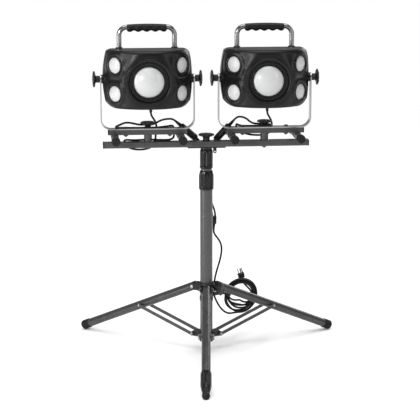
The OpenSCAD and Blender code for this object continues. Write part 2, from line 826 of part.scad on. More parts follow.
// LED boards behind the lenses and the driver in the rear housing
module led_electronics(side) color(board) head_at(side) {
    y_rod(33, face_y + 13, face_y + 16);
    y_rod(14, face_y + 10, face_y + 13);
    for (sx = [-1, 1], sz = [-1, 1]) {
        at_corner(sx, sz) {
            z_rod(16, -13, -11);
            z_rod(6, -11, -9.5);
        }
    }
    box(-45, 45, 4, 30, -30, 20);
}

module handle_tube(side) color(bright) head_at(side) translate([0, handle_y, 0]) {
    top_x = handle_x - handle_bend_r;
    leg_top = handle_top - handle_bend_r;
    difference() {
        union() {
            for (s = [-1, 1]) {
                translate([s * handle_x, 0, 0]) z_rod(handle_d / 2, head_top - 12, leg_top);
                translate([s * top_x, 0, leg_top]) mirror([s < 0 ? 1 : 0, 0, 0]) rotate([90, 0, 0])
                    rotate_extrude(angle = 90) translate([handle_bend_r, 0]) circle(d = handle_d);
            }
            translate([0, 0, handle_top]) x_rod(handle_d / 2, -top_x, top_x);
        }
        for (s = [-1, 1]) {
            translate([s * handle_x, 0, 0]) z_rod(handle_d / 2 - wall, head_top - 13, leg_top - 1);
        }
    }
}

module handle_grip(side) color(black) head_at(side) translate([0, handle_y, handle_top]) {
    difference() {
        union() {
            x_rod(grip_r, -grip_len / 2, grip_len / 2);
            for (i = [-2 : 2]) {
                translate([i * finger_pitch, 0, -4.5]) y_rod(finger_r, -7, 7);
            }
        }
        x_rod(handle_d / 2 + press, -grip_len, grip_len);
    }
}

module switch_rocker(side) color([0.16, 0.16, 0.17]) head_at(side) {
    translate([0, back_y - 1, rocker_z]) rotate([-rocker_tilt, 0, 0]) {
        box(-rocker_half_w, rocker_half_w, -2, 3, -7.5, 7.5);
        x_rod(rocker_barrel_r, -rocker_half_w, rocker_half_w);
    }
}

// ---------- cords ----------

module left_lamp_cord() color(black) lamp_at(-1) {
    cord(left_drop_route);
    cord(left_top_route);
}

// Slack of the left lamp's cord, hung over the crossbar
module left_cord_loop() color(black) lamp_at(-1) cord(left_loop_route);

module right_lamp_cord() color(black) lamp_at(1) cord(right_route);

module power_cord() color(black) cord(power_route);

module branch_cords() color(black) {
    cord(left_branch);
    cord(right_branch);
}

// Moulded joint where the power cord divides in two
module cord_splitter() color(black) translate(splitter_at) {
    relief_len = 14;
    cylinder(r1 = relief_tip_r, r2 = 4.5, h = relief_len);
    box(-7.5, 7.5, -4.5, 4.5, relief_len, splitter_len);
}

module power_cord_coil() color(black) {
    translate(coil_at) rotate([0, 0, coil_az]) rotate([90, 0, 0])
        rotate_extrude() translate([coil_r, 0]) circle(r = coil_bundle_r);
}

module power_plug() color(black) {
    relief_len = 8;
    face_z = 22;
    blade_x = 6.3;
    blade_half_t = 0.8;
    blade_len = 15;
    pin_len = 17;
    translate(power_plug_at) rotate([0, -power_plug_lean, coil_az]) {
        cylinder(r1 = relief_tip_r, r2 = 6.5, h = relief_len);
        box(-9.5, 9.5, -7, 7, relief_len - 0.5, face_z);
        for (s = [-1, 1]) {
            box(s * blade_x - blade_half_t, s * blade_x + blade_half_t, -3.2, 3.2,
                face_z - eps, face_z + blade_len);
        }
        translate([0, -3.5, 0]) z_rod(2.3, face_z - eps, face_z + pin_len);
    }
}

// ---------- drawing ----------

mast_tube();
brace_ring();
leg_hub();
hub_knob();
front_leg_tube();
right_leg_tube();
left_leg_tube();
front_foot();
right_foot();
left_foot();
front_leg_lock();
front_brace();
right_brace();
left_brace();
lower_lock_collar();
middle_tube();
upper_lock_collar();
inner_tube();
mast_head();
crossbar();
crossbar_end_caps();
centre_knob();
cord_splitter();
branch_cords();
power_cord();
power_cord_coil();
power_plug();
connector(-1);  // left_connector
rear_housing(-1);  // left_rear_housing
front_shell(-1);  // left_front_shell
lens_bezels(-1);  // left_lens_bezels
lenses(-1);  // left_lenses
led_electronics(-1);  // left_led_electronics
handle_tube(-1);  // left_handle_tube
handle_grip(-1);  // left_handle_grip
u_bracket(-1);  // left_u_bracket
stand_frame(-1);  // left_stand_frame
stand_feet(-1);  // left_stand_feet
clamp_knob(-1);  // left_clamp_knob
side_knob(-1, -1);  // left_lamp_outer_knob
side_knob(-1, 1);  // left_lamp_inner_knob
switch_rocker(-1);  // left_switch_rocker
left_lamp_cord();
left_cord_loop();
connector(1);  // right_connector
rear_housing(1);  // right_rear_housing
front_shell(1);  // right_front_shell
lens_bezels(1);  // right_lens_bezels
lenses(1);  // right_lenses
led_electronics(1);  // right_led_electronics
handle_tube(1);  // right_handle_tube
handle_grip(1);  // right_handle_grip
u_bracket(1);  // right_u_bracket
stand_frame(1);  // right_stand_frame
stand_feet(1);  // right_stand_feet
clamp_knob(1);  // right_clamp_knob
side_knob(1, 1);  // right_lamp_outer_knob
side_knob(1, -1);  // right_lamp_inner_knob
switch_rocker(1);  // right_switch_rocker
right_lamp_cord();
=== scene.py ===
"""Looks of a twin-head work light on a tripod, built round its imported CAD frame.

Shapes are drawn in millimetres and scaled to metres as each mesh is made. Cord routes are in
metres.
"""

import math

import bmesh
import bpy
import numpy as np
from mathutils import Matrix, Vector
from mathutils.geometry import delaunay_2d_cdt


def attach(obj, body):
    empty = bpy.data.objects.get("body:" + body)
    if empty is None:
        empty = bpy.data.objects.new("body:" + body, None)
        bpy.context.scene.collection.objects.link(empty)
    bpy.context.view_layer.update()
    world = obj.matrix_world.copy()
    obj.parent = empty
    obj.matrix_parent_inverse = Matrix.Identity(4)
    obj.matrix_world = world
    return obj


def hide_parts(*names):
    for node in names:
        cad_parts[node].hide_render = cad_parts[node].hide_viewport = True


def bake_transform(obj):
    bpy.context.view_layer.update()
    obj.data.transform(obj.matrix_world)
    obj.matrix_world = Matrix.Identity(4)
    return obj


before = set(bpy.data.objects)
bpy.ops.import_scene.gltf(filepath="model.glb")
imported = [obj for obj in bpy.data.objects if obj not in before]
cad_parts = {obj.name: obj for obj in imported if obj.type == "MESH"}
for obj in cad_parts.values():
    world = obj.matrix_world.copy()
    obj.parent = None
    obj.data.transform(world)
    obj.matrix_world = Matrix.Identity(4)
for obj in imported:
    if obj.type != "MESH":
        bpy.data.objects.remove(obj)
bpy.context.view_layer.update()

MM = 0.001
SHARP = math.radians(38)
TAU = 2 * math.pi
SIDES = (-1, 1)

# ---------------------------------------------------------------- driving sizes (mm)
TRIPOD_TURN = -5.5
LEG_AZIMUTH = {"front": -90 + TRIPOD_TURN, "right": 30 + TRIPOD_TURN, "left": 150 + TRIPOD_TURN}
HUB_KNOB_AZIMUTH = -30 + TRIPOD_TURN
PIVOT_R = 37
HUB_Z = 183
RING_Z = 46
LEG_SLOPE = 24.2
BRACE_LEN = 185.3
BRACE_SLOPE = 18.2
FRONT_LEG = 424
BALL_R = 10.6
LOWER_LOCK_Z = 462
UPPER_LOCK_Z = 521
LOCK_LEN = 53
BAR_Z = 582
BAR_TOP = 597
BAR_HALF = 280
BAR_DEPTH = 28
POST_X = 160
BEAM_Z = 618
STRAP_TOP = 635
ARM_X = 126.5
TILT_Z = 770
SKID_X = 90
SKID_Z = 611
HEAD_W = 121.5
HEAD_TOP = 82
HEAD_LOW = -74
HEAD_CORNER_R = 27
HEAD_LOW_CORNER_R = 38
HEAD_SIDE_R = 280
FACE_R = 128
FACE_CENTRE_Y = 40
FACE_Y = FACE_CENTRE_Y - FACE_R
SPLIT_Y = -14
RIM_Y = 22
RIM_ROLL = 8.0
BACK_Y = 44
BACK_INSET = 14.6
BACK_ROLL = 4
MID_Z = 4
CORNER_TURN = 44.7
CORNER_DZ = 38
CORNER_R = 20.5
DOME_R = 40
DOME_RISE = 14
BEZEL_R = 63
BEZEL_TEETH = 44
HANDLE_X = 75
HANDLE_Y = 12
HANDLE_TOP = 138
HANDLE_R = 6.75
HANDLE_BEND = 21
GRIP_LEN = 108
GLAND = (9, 10)
ROCKER_Z = -47
ROCKER_TIP = -8
CORD_D = 0.0056


# ---------------------------------------------------------------- materials
def fill(made, target, inputs):
    """Sets a node's inputs. A socket is linked, and anything else becomes the input's value."""
    for name, value in inputs.items():
        if isinstance(value, bpy.types.NodeSocket):
            made.node_tree.links.new(value, target.inputs[name])
        else:
            target.inputs[name].default_value = value


def node(made, kind, inputs):
    added = made.node_tree.nodes.new("ShaderNode" + kind)
    fill(made, added, inputs)
    return added


def new_material(name):
    """A material, its principled shader and its object coordinates."""
    made = bpy.data.materials.new(name)
    made.use_nodes = True
    shader = made.node_tree.nodes["Principled BSDF"]
    return made, shader, node(made, "TexCoord", {}).outputs["Object"]


def colour_ramp(made, low, high, value, start=0.0, end=1.0):
    ramp = node(made, "ValToRGB", {"Fac": value})
    for element, colour, place in zip(ramp.color_ramp.elements, (low, high), (start, end)):
        element.position = place
        element.color = (*colour, 1)
    return ramp.outputs["Color"]


def bumped(made, height, strength, distance):
    return node(made, "Bump", {"Height": height, "Strength": strength,
                               "Distance": distance}).outputs["Normal"]


def surface(name, colour, rough, metal=0.0, spread=0.15, grain=900.0, bump=0.05,
            stretch=(1, 1, 1), wear=0.0, specular=0.5, rough_spread=0.08):
    """A finish whose colour and gloss wander a little, with a fine grain in its bump, and
    paler worn edges where wear is above zero."""
    made, shader, coords = new_material(name)
    mapped = node(made, "Mapping", {"Vector": coords, "Scale": stretch}).outputs["Vector"]
    broad = node(made, "TexNoise", {"Vector": mapped, "Scale": 22.0, "Detail": 4.0}).outputs["Fac"]
    fine = node(made, "TexNoise", {"Vector": mapped, "Scale": grain, "Detail": 3.0}).outputs["Fac"]
    low = [max(0.0, c * (1 - spread)) for c in colour]
    high = [min(1.0, c * (1 + spread)) for c in colour]
    colour_out = colour_ramp(made, low, high, broad, 0.3, 0.7)
    if wear > 0:
        geometry = node(made, "NewGeometry", {})
        edge = node(made, "MapRange", {"Value": geometry.outputs["Pointiness"], "From Min": 0.53,
                                       "From Max": 0.60, "To Max": wear})
        patchy = node(made, "Math", {0: edge.outputs["Result"], 1: fine})
        patchy.operation = "MULTIPLY"
        pale = (*[min(1, c * 2.2 + 0.03) for c in colour], 1)
        colour_out = node(made, "MixRGB", {"Fac": patchy.outputs["Value"], "Color1": colour_out,
                                           "Color2": pale}).outputs["Color"]
    gloss = node(made, "MapRange", {"Value": broad, "To Min": max(0.04, rough - rough_spread),
                                    "To Max": rough + rough_spread})
    fill(made, shader, {"Base Color": colour_out, "Roughness": gloss.outputs["Result"],
                        "Normal": bumped(made, fine, bump, 0.0006), "Metallic": metal,
                        "Specular IOR Level": specular})
    return made


def woven(name, colour):
    """Hook-and-loop webbing: crossed ribs in the bump and a fuzzy sheen."""
    made = surface(name, colour, 0.85, spread=0.3, bump=0.3, grain=2600)
    coords = node(made, "TexCoord", {}).outputs["Object"]
    wave = node(made, "TexWave", {"Vector": coords, "Scale": 420.0, "Distortion": 1.5})
    fill(made, made.node_tree.nodes["Principled BSDF"],
         {"Sheen Weight": 0.4, "Normal": bumped(made, wave.outputs["Fac"], 0.4, 0.0008)})
    return made


def diffuser(name, texture, scale, height, strength):
    """Frosted lens plastic, with a texture of the given scale in its bump."""
    made, shader, coords = new_material(name)
    cloud = node(made, "TexNoise", {"Vector": coords, "Scale": 30.0}).outputs["Fac"]
    relief = node(made, texture, {"Vector": coords, "Scale": scale}).outputs[height]
    fill(made, shader, {
        "Base Color": colour_ramp(made, (0.43, 0.435, 0.44), (0.53, 0.53, 0.53), cloud),
        "Normal": bumped(made, relief, strength, 0.001), "Roughness": 0.3,
        "Subsurface Weight": 0.15, "Subsurface Radius": (0.004, 0.004, 0.004),
        "Coat Weight": 0.35, "Coat Roughness": 0.12})
    return made


PAINT = surface("gunmetal_paint", (0.060, 0.060, 0.062), 0.27, metal=0.6, spread=0.12, grain=1500,
                bump=0.10, wear=0.25)
PAINT_FLAT = surface("gunmetal_flat", (0.052, 0.052, 0.054), 0.38, metal=0.4, spread=0.12,
                     grain=1500, bump=0.10, wear=0.35)
SHELL = surface("shell_plastic", (0.0048, 0.0048, 0.005), 0.30, spread=0.2, grain=2600, bump=0.16,
                specular=0.22, wear=0.2)
BEZEL = surface("bezel_plastic", (0.0042, 0.0042, 0.0045), 0.20, spread=0.2, grain=1800, bump=0.05,
                specular=0.26, wear=0.2)
KNOB = surface("knob_plastic", (0.0058, 0.0058, 0.006), 0.32, spread=0.25, grain=1900, bump=0.14,
               specular=0.28, wear=0.4)
RUBBER = surface("cap_rubber", (0.0065, 0.0065, 0.007), 0.55, spread=0.3, grain=1300, bump=0.2,
                 specular=0.2, wear=0.2)
GRIP = surface("grip_foam", (0.005, 0.005, 0.0055), 0.4, spread=0.3, grain=1500, bump=0.35,
               specular=0.22, wear=0.2)
SHEATH = surface("cord_sheath", (0.005, 0.005, 0.0055), 0.38, spread=0.25, grain=1400, bump=0.12,
                 specular=0.24)
MOULD = surface("moulded_pvc", (0.005, 0.005, 0.0055), 0.34, spread=0.25, grain=1700, bump=0.1,
                specular=0.24, wear=0.3)
BRIGHT = surface("bright_tube", (0.24, 0.24, 0.243), 0.18, metal=1.0, spread=0.12, grain=1400,
                 bump=0.03, rough_spread=0.05)
STRAP = surface("strap_steel", (0.38, 0.38, 0.385), 0.26, metal=1.0, spread=0.10, grain=900,
                bump=0.06, stretch=(0.2, 1, 0.2))
ZINC = surface("zinc_fastener", (0.34, 0.34, 0.34), 0.32, metal=1.0, spread=0.15, grain=2000,
               bump=0.08)
NICKEL = surface("plug_prong", (0.20, 0.19, 0.17), 0.25, metal=1.0, spread=0.08, grain=1500,
                 bump=0.03)
TIE = woven("tie_webbing", (0.008, 0.008, 0.0085))
DOME = diffuser("frosted_dome", "TexNoise", 1800.0, "Fac", 0.08)
PEBBLED = diffuser("pebbled_lens", "TexVoronoi", 330.0, "Distance", 0.8)
BOARD = surface("led_board", (0.75, 0.74, 0.66), 0.4, spread=0.12, grain=700, bump=0.1)
# Near-black finish for painted shade at the back of the switch recess
RECESS_SHADE = surface("recess_shadow", (0.004, 0.004, 0.004), 0.6, spread=0.3, grain=900, bump=0.1)


# ---------------------------------------------------------------- mesh helpers
def smoothstep(value, start, end):
    t = min(1.0, max(0.0, (value - start) / (end - start)))
    return t * t * (3 - 2 * t)


def at(x=0, y=0, z=0):
    return Matrix.Translation((x, y, z))


def turn(degrees, axis):
    return Matrix.Rotation(math.radians(degrees), 4, axis)


def mirror_x():
    return Matrix.Diagonal((-1, 1, 1, 1))


def joined(*shapes):
    """Several (points, faces) shapes as one."""
    points, faces = [], []
    for more_points, more_faces in shapes:
        start = len(points)
        points += [tuple(p) for p in more_points]
        faces += [[i + start for i in f] for f in more_faces]
    return points, faces


def moved(shape, place):
    points, faces = shape
    if place.determinant() < 0:
        faces = [f[::-1] for f in faces]
    return [tuple(place @ Vector(p)) for p in points], faces


def piece(name, shape, material, body, place=None, slot=None, sharp=SHARP, instead_of=()):
    """Makes one object of a shape in millimetres, rides it on a body and hides the CAD parts it
    replaces.
    """
    if place is not None:
        shape = moved(shape, place)
    points, faces = shape
    mesh = bpy.data.meshes.new(name)
    mesh.from_pydata([(x * MM, y * MM, z * MM) for x, y, z in points], [], faces)
    mesh.validate()
    bm = bmesh.new()
    bm.from_mesh(mesh)
    bmesh.ops.recalc_face_normals(bm, faces=bm.faces)
    bm.to_mesh(mesh)
    bm.free()
    for polygon in mesh.polygons:
        polygon.use_smooth = True
    mesh.set_sharp_from_angle(angle=sharp)
    made = bpy.data.objects.new(name, mesh)
    bpy.context.scene.collection.objects.link(made)
    mesh.materials.append(material)
    if body:
        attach(made, body)
    if instead_of:
        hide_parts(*instead_of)
    return made


def copies(shape, places):
    return joined(*[moved(shape, place) for place in places])


def rings_shape(rings, ends="fans"):
    """Faces between rings of equally many points. The ends get fans, stay open or are joined."""
    count = len(rings[0])
    points = [tuple(p) for ring in rings for p in ring]
    faces = []
    for i in range(len(rings) if ends == "joined" else len(rings) - 1):
        here, there = i * count, (i + 1) % len(rings) * count
        for k in range(count):
            n = (k + 1) % count
            faces.append([here + k, here + n, there + n, there + k])
    if ends == "fans":
        tail = (len(rings) - 1) * count
        for ring, first, flip in ((rings[0], 0, True), (rings[-1], tail, False)):
            middle = len(points)
            points.append(tuple(np.mean(np.array(ring, float), axis=0)))
            for k in range(count):
                face = [first + k, first + (k + 1) % count, middle]
                faces.append(face[::-1] if flip else face)
    return points, faces


def turned_rings(profile, steps, wave):
    """A ring of points about Z for each (radius, height) of a profile. wave(angle, radius, height)
    may change the radius."""
    rings = []
    for r, z in profile:
        ring = []
        for k in range(steps):
            angle = TAU * k / steps
            here = wave(angle, r, z) if wave else r
            ring.append((here * math.cos(angle), here * math.sin(angle), z))
        rings.append(ring)
    return rings


def lathe(profile, steps=64, wave=None):
    """A solid turned about Z, closed at both ends of its (radius, height) profile."""
    return rings_shape(turned_rings(profile, steps, wave))


def washer(profile, steps=64, wave=None):
    """A ring turned about Z from a closed (radius, height) outline."""
    return rings_shape(turned_rings(profile, steps, wave), "joined")


def circle(r, count, cx=0.0, cy=0.0, squeeze=1.0):
    """Points at even angles round a middle. squeeze narrows them across."""
    return [(cx + r * squeeze * math.cos(TAU * k / count), cy + r * math.sin(TAU * k / count))
            for k in range(count)]


def arc(cx, cz, r, start, end, steps=5):
    """Points of a round corner in a (radius, height) profile, in degrees."""
    return [
        (cx + r * math.cos(math.radians(start + (end - start) * i / steps)),
         cz + r * math.sin(math.radians(start + (end - start) * i / steps)))
        for i in range(steps + 1)
    ]


def rounded_box(size, centre=(0, 0, 0), r=1.0, steps=3):
    """A box with every edge rounded."""
    bm = bmesh.new()
    bmesh.ops.create_cube(bm, size=1.0)
    for v in bm.verts:
        v.co = Vector((v.co.x * size[0], v.co.y * size[1], v.co.z * size[2])) + Vector(centre)
    bmesh.ops.bevel(bm, geom=bm.edges[:], offset=r, segments=steps, profile=0.5, affect="EDGES")
    points = [tuple(v.co) for v in bm.verts]
    faces = [[v.index for v in f.verts] for f in bm.faces]
    bm.free()
    return points, faces


def prism(outline, y0, y1, r, steps=4):
    """An (x, z) outline given depth along Y, with its two rims rounded by r."""
    flat = np.array(outline, float)
    along = np.roll(flat, -1, axis=0) - np.roll(flat, 1, axis=0)
    along /= np.maximum(np.linalg.norm(along, axis=1), 1e-9)[:, None]
    inward = np.stack([-along[:, 1], along[:, 0]], axis=1)
    turns = [math.pi / 2 * i / steps for i in range(steps + 1)]
    levels = [(y0 + r * (1 - math.cos(t)), r * (1 - math.sin(t))) for t in turns]
    levels += [(y1 - r * (1 - math.sin(t)), r * (1 - math.cos(t))) for t in turns]
    return rings_shape([[(x, y, z) for x, z in flat + away * inward] for y, away in levels])


SMOOTHING_PASSES = 6


def smooth_line(points, step=0.002):
    """A smooth curve through points, resampled about every step metres."""
    p = np.array(points, float)
    ends = np.vstack([2 * p[0] - p[1], p, 2 * p[-1] - p[-2]])
    out = []
    for i in range(1, len(ends) - 2):
        p0, p1, p2, p3 = ends[i - 1:i + 3]
        n = max(2, int(np.linalg.norm(p2 - p1) / step))
        knots = [0.0]
        for a, b in ((p0, p1), (p1, p2), (p2, p3)):
            knots.append(knots[-1] + max(np.linalg.norm(b - a), 1e-7) ** 0.5)
        t0, t1, t2, t3 = knots
        for k in range(n):
            t = t1 + (t2 - t1) * k / n

            def mix(a, b, ta, tb):
                return (tb - t) / (tb - ta) * a + (t - ta) / (tb - ta) * b

            a1, a2, a3 = mix(p0, p1, t0, t1), mix(p1, p2, t1, t2), mix(p2, p3, t2, t3)
            out.append(mix(mix(a1, a2, t0, t2), mix(a2, a3, t1, t3), t1, t2))
    out.append(p[-1])
    line = np.array(out)
    for _ in range(SMOOTHING_PASSES):
        line[1:-1] = 0.25 * line[:-2] + 0.5 * line[1:-1] + 0.25 * line[2:]
    return line


def sweep(line, radius, sides=14):
    """A tube round a centreline, in the line's own units."""
    line = np.array(line, float)
    tangents = np.gradient(line, axis=0)
    tangents /= np.linalg.norm(tangents, axis=1)[:, None]
    normal = np.cross(tangents[0], (0.31, 0.95, 0.1))
    rings = []
    for p, t in zip(line, tangents):
        normal = normal - t * (normal @ t)
        normal /= np.linalg.norm(normal)
        across = np.cross(t, normal)
        rings.append([tuple(p + a * normal + b * across) for a, b in circle(radius, sides)])
    return rings_shape(rings)


def in_metres(shape):
    """A shape drawn in metres, for piece(), which takes millimetres."""
    points, faces = shape
    return [(x / MM, y / MM, z / MM) for x, y, z in points], faces


def paint(material, *nodes, bevel=0.0):
    """Gives CAD nodes a finish, and rounds their edges a little."""
    for name in nodes:
        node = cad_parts[name]
        node.data.materials.clear()
        node.data.materials.append(material)
        for polygon in node.data.polygons:
            polygon.material_index = 0
        if bevel:
            rounding = node.modifiers.new("rounding", "BEVEL")
            rounding.width = bevel * MM
            rounding.segments = 2
            rounding.limit_method = "ANGLE"
            rounding.angle_limit = math.radians(50)
            rounding.harden_normals = False


def leg_place(which):
    """From a leg's own line, X down the leg from its hub pivot, to the row frame, in mm."""
    return turn(LEG_AZIMUTH[which], "Z") @ at(PIVOT_R, 0, HUB_Z) @ turn(LEG_SLOPE, "Y")


def brace_place(which):
    return turn(LEG_AZIMUTH[which], "Z") @ at(PIVOT_R, 0, RING_Z) @ turn(-BRACE_SLOPE, "Y")


X_UP = turn(90, "Y")    # stands a shape drawn along Z along +X
Y_UP = turn(-90, "X")   # stands a shape drawn along Z along +Y
MINUS_Y_UP = turn(90, "X")
SLOT_DEPTH = 0.6


def rivet_head(r, h):
    """A low round head on z = 0."""
    crown = [(r * math.cos(t), h * (0.25 + 0.75 * math.sin(t))) for t in np.linspace(0.1, 1.5, 6)]
    return lathe([(r, 0), (r, h * 0.25), *crown], 28)


def screw_head(r, h):
    """A round head with a cross slot cut into it, on z = 0."""
    rim = (r * 0.8, h * 0.92)
    points, faces = lathe([rim, *[(r * share, h) for share in (0.62, 0.45, 0.3, 0.18, 0.08)]], 32)
    slotted = []
    for x, y, z in points:
        near, far = sorted((abs(x), abs(y)))
        cut = z > h * 0.95 and near < r * 0.16 and far < r * 0.62
        slotted.append((x, y, z - SLOT_DEPTH if cut else z))
    return joined(lathe([(r, 0), (r, h * 0.55), (r * 0.92, h * 0.8), rim], 32), (slotted, faces))


def hex_nut(across_r, h):
    shape = [(across_r * 0.9, 0), (across_r, h * 0.12), (across_r, h * 0.88), (across_r * 0.9, h)]
    return lathe(shape, 6)


# ---------------------------------------------------------------- camera
AIM_Z = 0.403
AIM_RIGHT = 0.0102
CAMERA_DISTANCE = 4.155
CAMERA_ELEVATION = 12.0


def make_camera():
    azimuth, elevation = math.radians(TRIPOD_TURN), math.radians(CAMERA_ELEVATION)
    back = Vector((math.sin(azimuth) * math.cos(elevation),
                   -math.cos(azimuth) * math.cos(elevation), math.sin(elevation)))
    right = Vector((math.cos(azimuth), math.sin(azimuth), 0))
    data = bpy.data.cameras.new("camera")
    data.lens = 128.6
    data.sensor_width = 36
    data.clip_end = 100
    camera = bpy.data.objects.new("camera", data)
    bpy.context.scene.collection.objects.link(camera)
    aim = Vector((0, 0, AIM_Z)) + right * AIM_RIGHT
    camera.location = aim + back * CAMERA_DISTANCE
    camera.rotation_mode = "QUATERNION"
    camera.rotation_quaternion = (-back).to_track_quat("-Z", "Y")
    bpy.context.scene.camera = camera


# ---------------------------------------------------------------- cords
SPLITTER = np.array((0.0245, 0.040, 0.340))
COIL_AT = np.array((0.107, 0.090, 0.131))
COIL_AZ = math.radians(19.5)
COIL_R = 0.043
COIL_START = -100.0     # where the first turn begins, in degrees
COIL_STEPS = 225
STEPS_PER_TURN = 36
COIL_WIDER = 1.06       # how much wider than high the coil lies
COIL_PACKING = 1.04     # distance between neighbouring turns, in cord diameters
SAG_AT = 252
SAGS = (0.0, 0.0005, 0.005, 0.024, 0.0165, 0.0095, 0.0)
LOOSE_AT = 108
LOOSE_TURN = 1
LOOSE_LIFT = 0.0048
# From the last turn to the plug, in the coil's own plane: across, behind, up
COIL_TAIL = [(0.042, 0.009, -0.003), (0.0385, 0.0125, 0.007), (0.0325, 0.0155, 0.0155),
             (0.0255, 0.0165, 0.0225), (0.0195, 0.0165, 0.0295), (0.0163, 0.0165, 0.0350)]
PLUG_AT = np.array((0.1145, 0.110, 0.171))
PLUG_LEAN = 15

POWER_ROUTE = [
    (0.0844, 0.082, 0.0822), (0.074, 0.0745, 0.083), (0.062, 0.066, 0.089), (0.05, 0.058, 0.1),
    (0.04, 0.051, 0.115), (0.032, 0.046, 0.131), (0.026, 0.042, 0.147), (0.024, 0.039, 0.162),
    (0.025, 0.04, 0.178), (0.028, 0.043, 0.194), (0.032, 0.047, 0.21), (0.037, 0.05, 0.226),
    (0.042, 0.052, 0.242), (0.046, 0.052, 0.259), (0.048, 0.051, 0.276), (0.046, 0.048, 0.293),
    (0.039, 0.044, 0.308), (0.031, 0.041, 0.319), (0.025, 0.04, 0.3295), (0.0245, 0.04, 0.3398)]
LEFT_BRANCH = [
    (0.0205, 0.04, 0.3752), (0.0205, 0.04, 0.384), (0.016, 0.04, 0.398), (0.01, 0.039, 0.412),
    (0.004, 0.038, 0.427), (0, 0.036, 0.443), (-0.003, 0.034, 0.459), (-0.005, 0.0325, 0.475),
    (-0.006, 0.0315, 0.49), (-0.007, 0.031, 0.505), (-0.007, 0.031, 0.519), (-0.006, 0.031, 0.536),
    (-0.004, 0.031, 0.552), (-0.005, 0.03, 0.563), (-0.008, 0.028, 0.572), (-0.011, 0.0265, 0.58),
    (-0.015, 0.026, 0.5899)]
RIGHT_BRANCH = [
    (0.0285, 0.04, 0.3752), (0.0285, 0.04, 0.384), (0.025, 0.04, 0.398), (0.02, 0.039, 0.412),
    (0.016, 0.038, 0.427), (0.013, 0.036, 0.443), (0.011, 0.034, 0.459), (0.01, 0.0325, 0.475),
    (0.009, 0.0315, 0.49), (0.008, 0.031, 0.505), (0.007, 0.031, 0.519), (0.005, 0.031, 0.536),
    (0.004, 0.031, 0.552), (0.005, 0.03, 0.563), (0.008, 0.028, 0.572), (0.0125, 0.0265, 0.5775),
    (0.0178, 0.026, 0.5836)]
BRANCH_TIES = (0.500, 0.545)
# Lamp cords, about their own post in X, from the gland to the plug
GLAND_DROP = [
    (0.009, 0.01, 0.675), (0.0105, 0.013, 0.668), (0.015, 0.018, 0.66), (0.02, 0.023, 0.652),
    (0.024, 0.026, 0.642), (0.025, 0.027, 0.632)]
LEFT_DROP = GLAND_DROP + [(0.024, 0.026, 0.622), (0.0225, 0.024, 0.615), (0.0225, 0.024, 0.6114)]
LEFT_LOOP = [
    (0.0225, 0.024, 0.606), (0.021, 0.024, 0.596), (0.017, 0.024, 0.586), (0.008, 0.024, 0.577),
    (-0.004, 0.024, 0.573), (-0.017, 0.024, 0.5715), (-0.031, 0.024, 0.572),
    (-0.044, 0.024, 0.5745), (-0.055, 0.024, 0.58), (-0.063, 0.023, 0.588), (-0.065, 0.019, 0.597),
    (-0.059, 0.014, 0.601), (-0.047, 0.011, 0.6005), (-0.032, 0.012, 0.6), (-0.016, 0.015, 0.6),
    (0, 0.016, 0.6002), (0.018, 0.014, 0.6002), (0.034, 0.01, 0.6), (0.048, 0.008, 0.6),
    (0.061, 0.011, 0.6003), (0.069, 0.016, 0.6025), (0.0725, 0.019, 0.6065),
    (0.0725, 0.019, 0.611)]
LEFT_TOP = [
    (0.0725, 0.019, 0.617), (0.074, 0.02, 0.625), (0.073, 0.02, 0.632), (0.068, 0.016, 0.6385),
    (0.058, 0.009, 0.638), (0.048, 0.003, 0.638), (0.036, -0.006, 0.638), (0.024, -0.012, 0.638),
    (0.008, -0.014, 0.638), (-0.01, -0.014, 0.638), (-0.028, -0.014, 0.638),
    (-0.046, -0.013, 0.638), (-0.06, -0.012, 0.638), (-0.074, -0.009, 0.638),
    (-0.084, -0.003, 0.638), (-0.088, 0.005, 0.638), (-0.084, 0.012, 0.6395),
    (-0.075, 0.016, 0.6425), (-0.064, 0.017, 0.647), (-0.052, 0.016, 0.648),
    (-0.037, 0.016, 0.645), (-0.022, 0.016, 0.642), (-0.008, 0.017, 0.6415),
    (0.008, 0.017, 0.6415), (0.017, 0.019, 0.6422), (0.024, 0.019, 0.646), (0.032, 0.016, 0.651),
    (0.041, 0.013, 0.655), (0.051, 0.013, 0.6568), (0.0595, 0.017, 0.6568),
    (0.0665, 0.0225, 0.6556), (0.072, 0.0258, 0.6534), (0.077, 0.026, 0.6495)]
# Where the left lamp's cord is cut into its three pieces, in the row frame
LEFT_SEAMS = ((-0.1375, 0.024, 0.611), (-0.225, 0.019, 0.597))
RIGHT_LAMP = GLAND_DROP + [
    (0.023, 0.026, 0.621), (0.015, 0.025, 0.612),
    (0.002, 0.024, 0.608), (-0.014, 0.024, 0.607), (-0.03, 0.024, 0.608), (-0.046, 0.024, 0.611),
    (-0.06, 0.023, 0.617), (-0.07, 0.0205, 0.625), (-0.075, 0.018, 0.632), (-0.076, 0.0155, 0.638),
    (-0.0755, 0.008, 0.6408), (-0.072, -0.002, 0.6405), (-0.064, -0.01, 0.639),
    (-0.052, -0.013, 0.639), (-0.036, -0.014, 0.639), (-0.018, -0.015, 0.639), (0, -0.015, 0.639),
    (0.015, -0.011, 0.639), (0.02, 0, 0.639), (0.015, 0.011, 0.639), (0.003, 0.017, 0.639),
    (-0.012, 0.018, 0.6395), (-0.025, 0.014, 0.641), (-0.035, 0.009, 0.645),
    (-0.042, 0.006, 0.6505), (-0.0485, 0.005, 0.656), (-0.056, 0.007, 0.6595),
    (-0.064, 0.0135, 0.6605), (-0.0715, 0.021, 0.6586), (-0.0768, 0.0258, 0.654),
    (-0.0805, 0.026, 0.65)]


def shifted(points, dx):
    return [(x + dx, y, z) for x, y, z in points]


def cord_piece(name, line, instead_of=()):
    made = piece(name, in_metres(sweep(line, CORD_D / 2)), SHEATH, None, slot="cord_pvc",
                 sharp=math.radians(80))
    if instead_of:
        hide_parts(*instead_of)
    return made


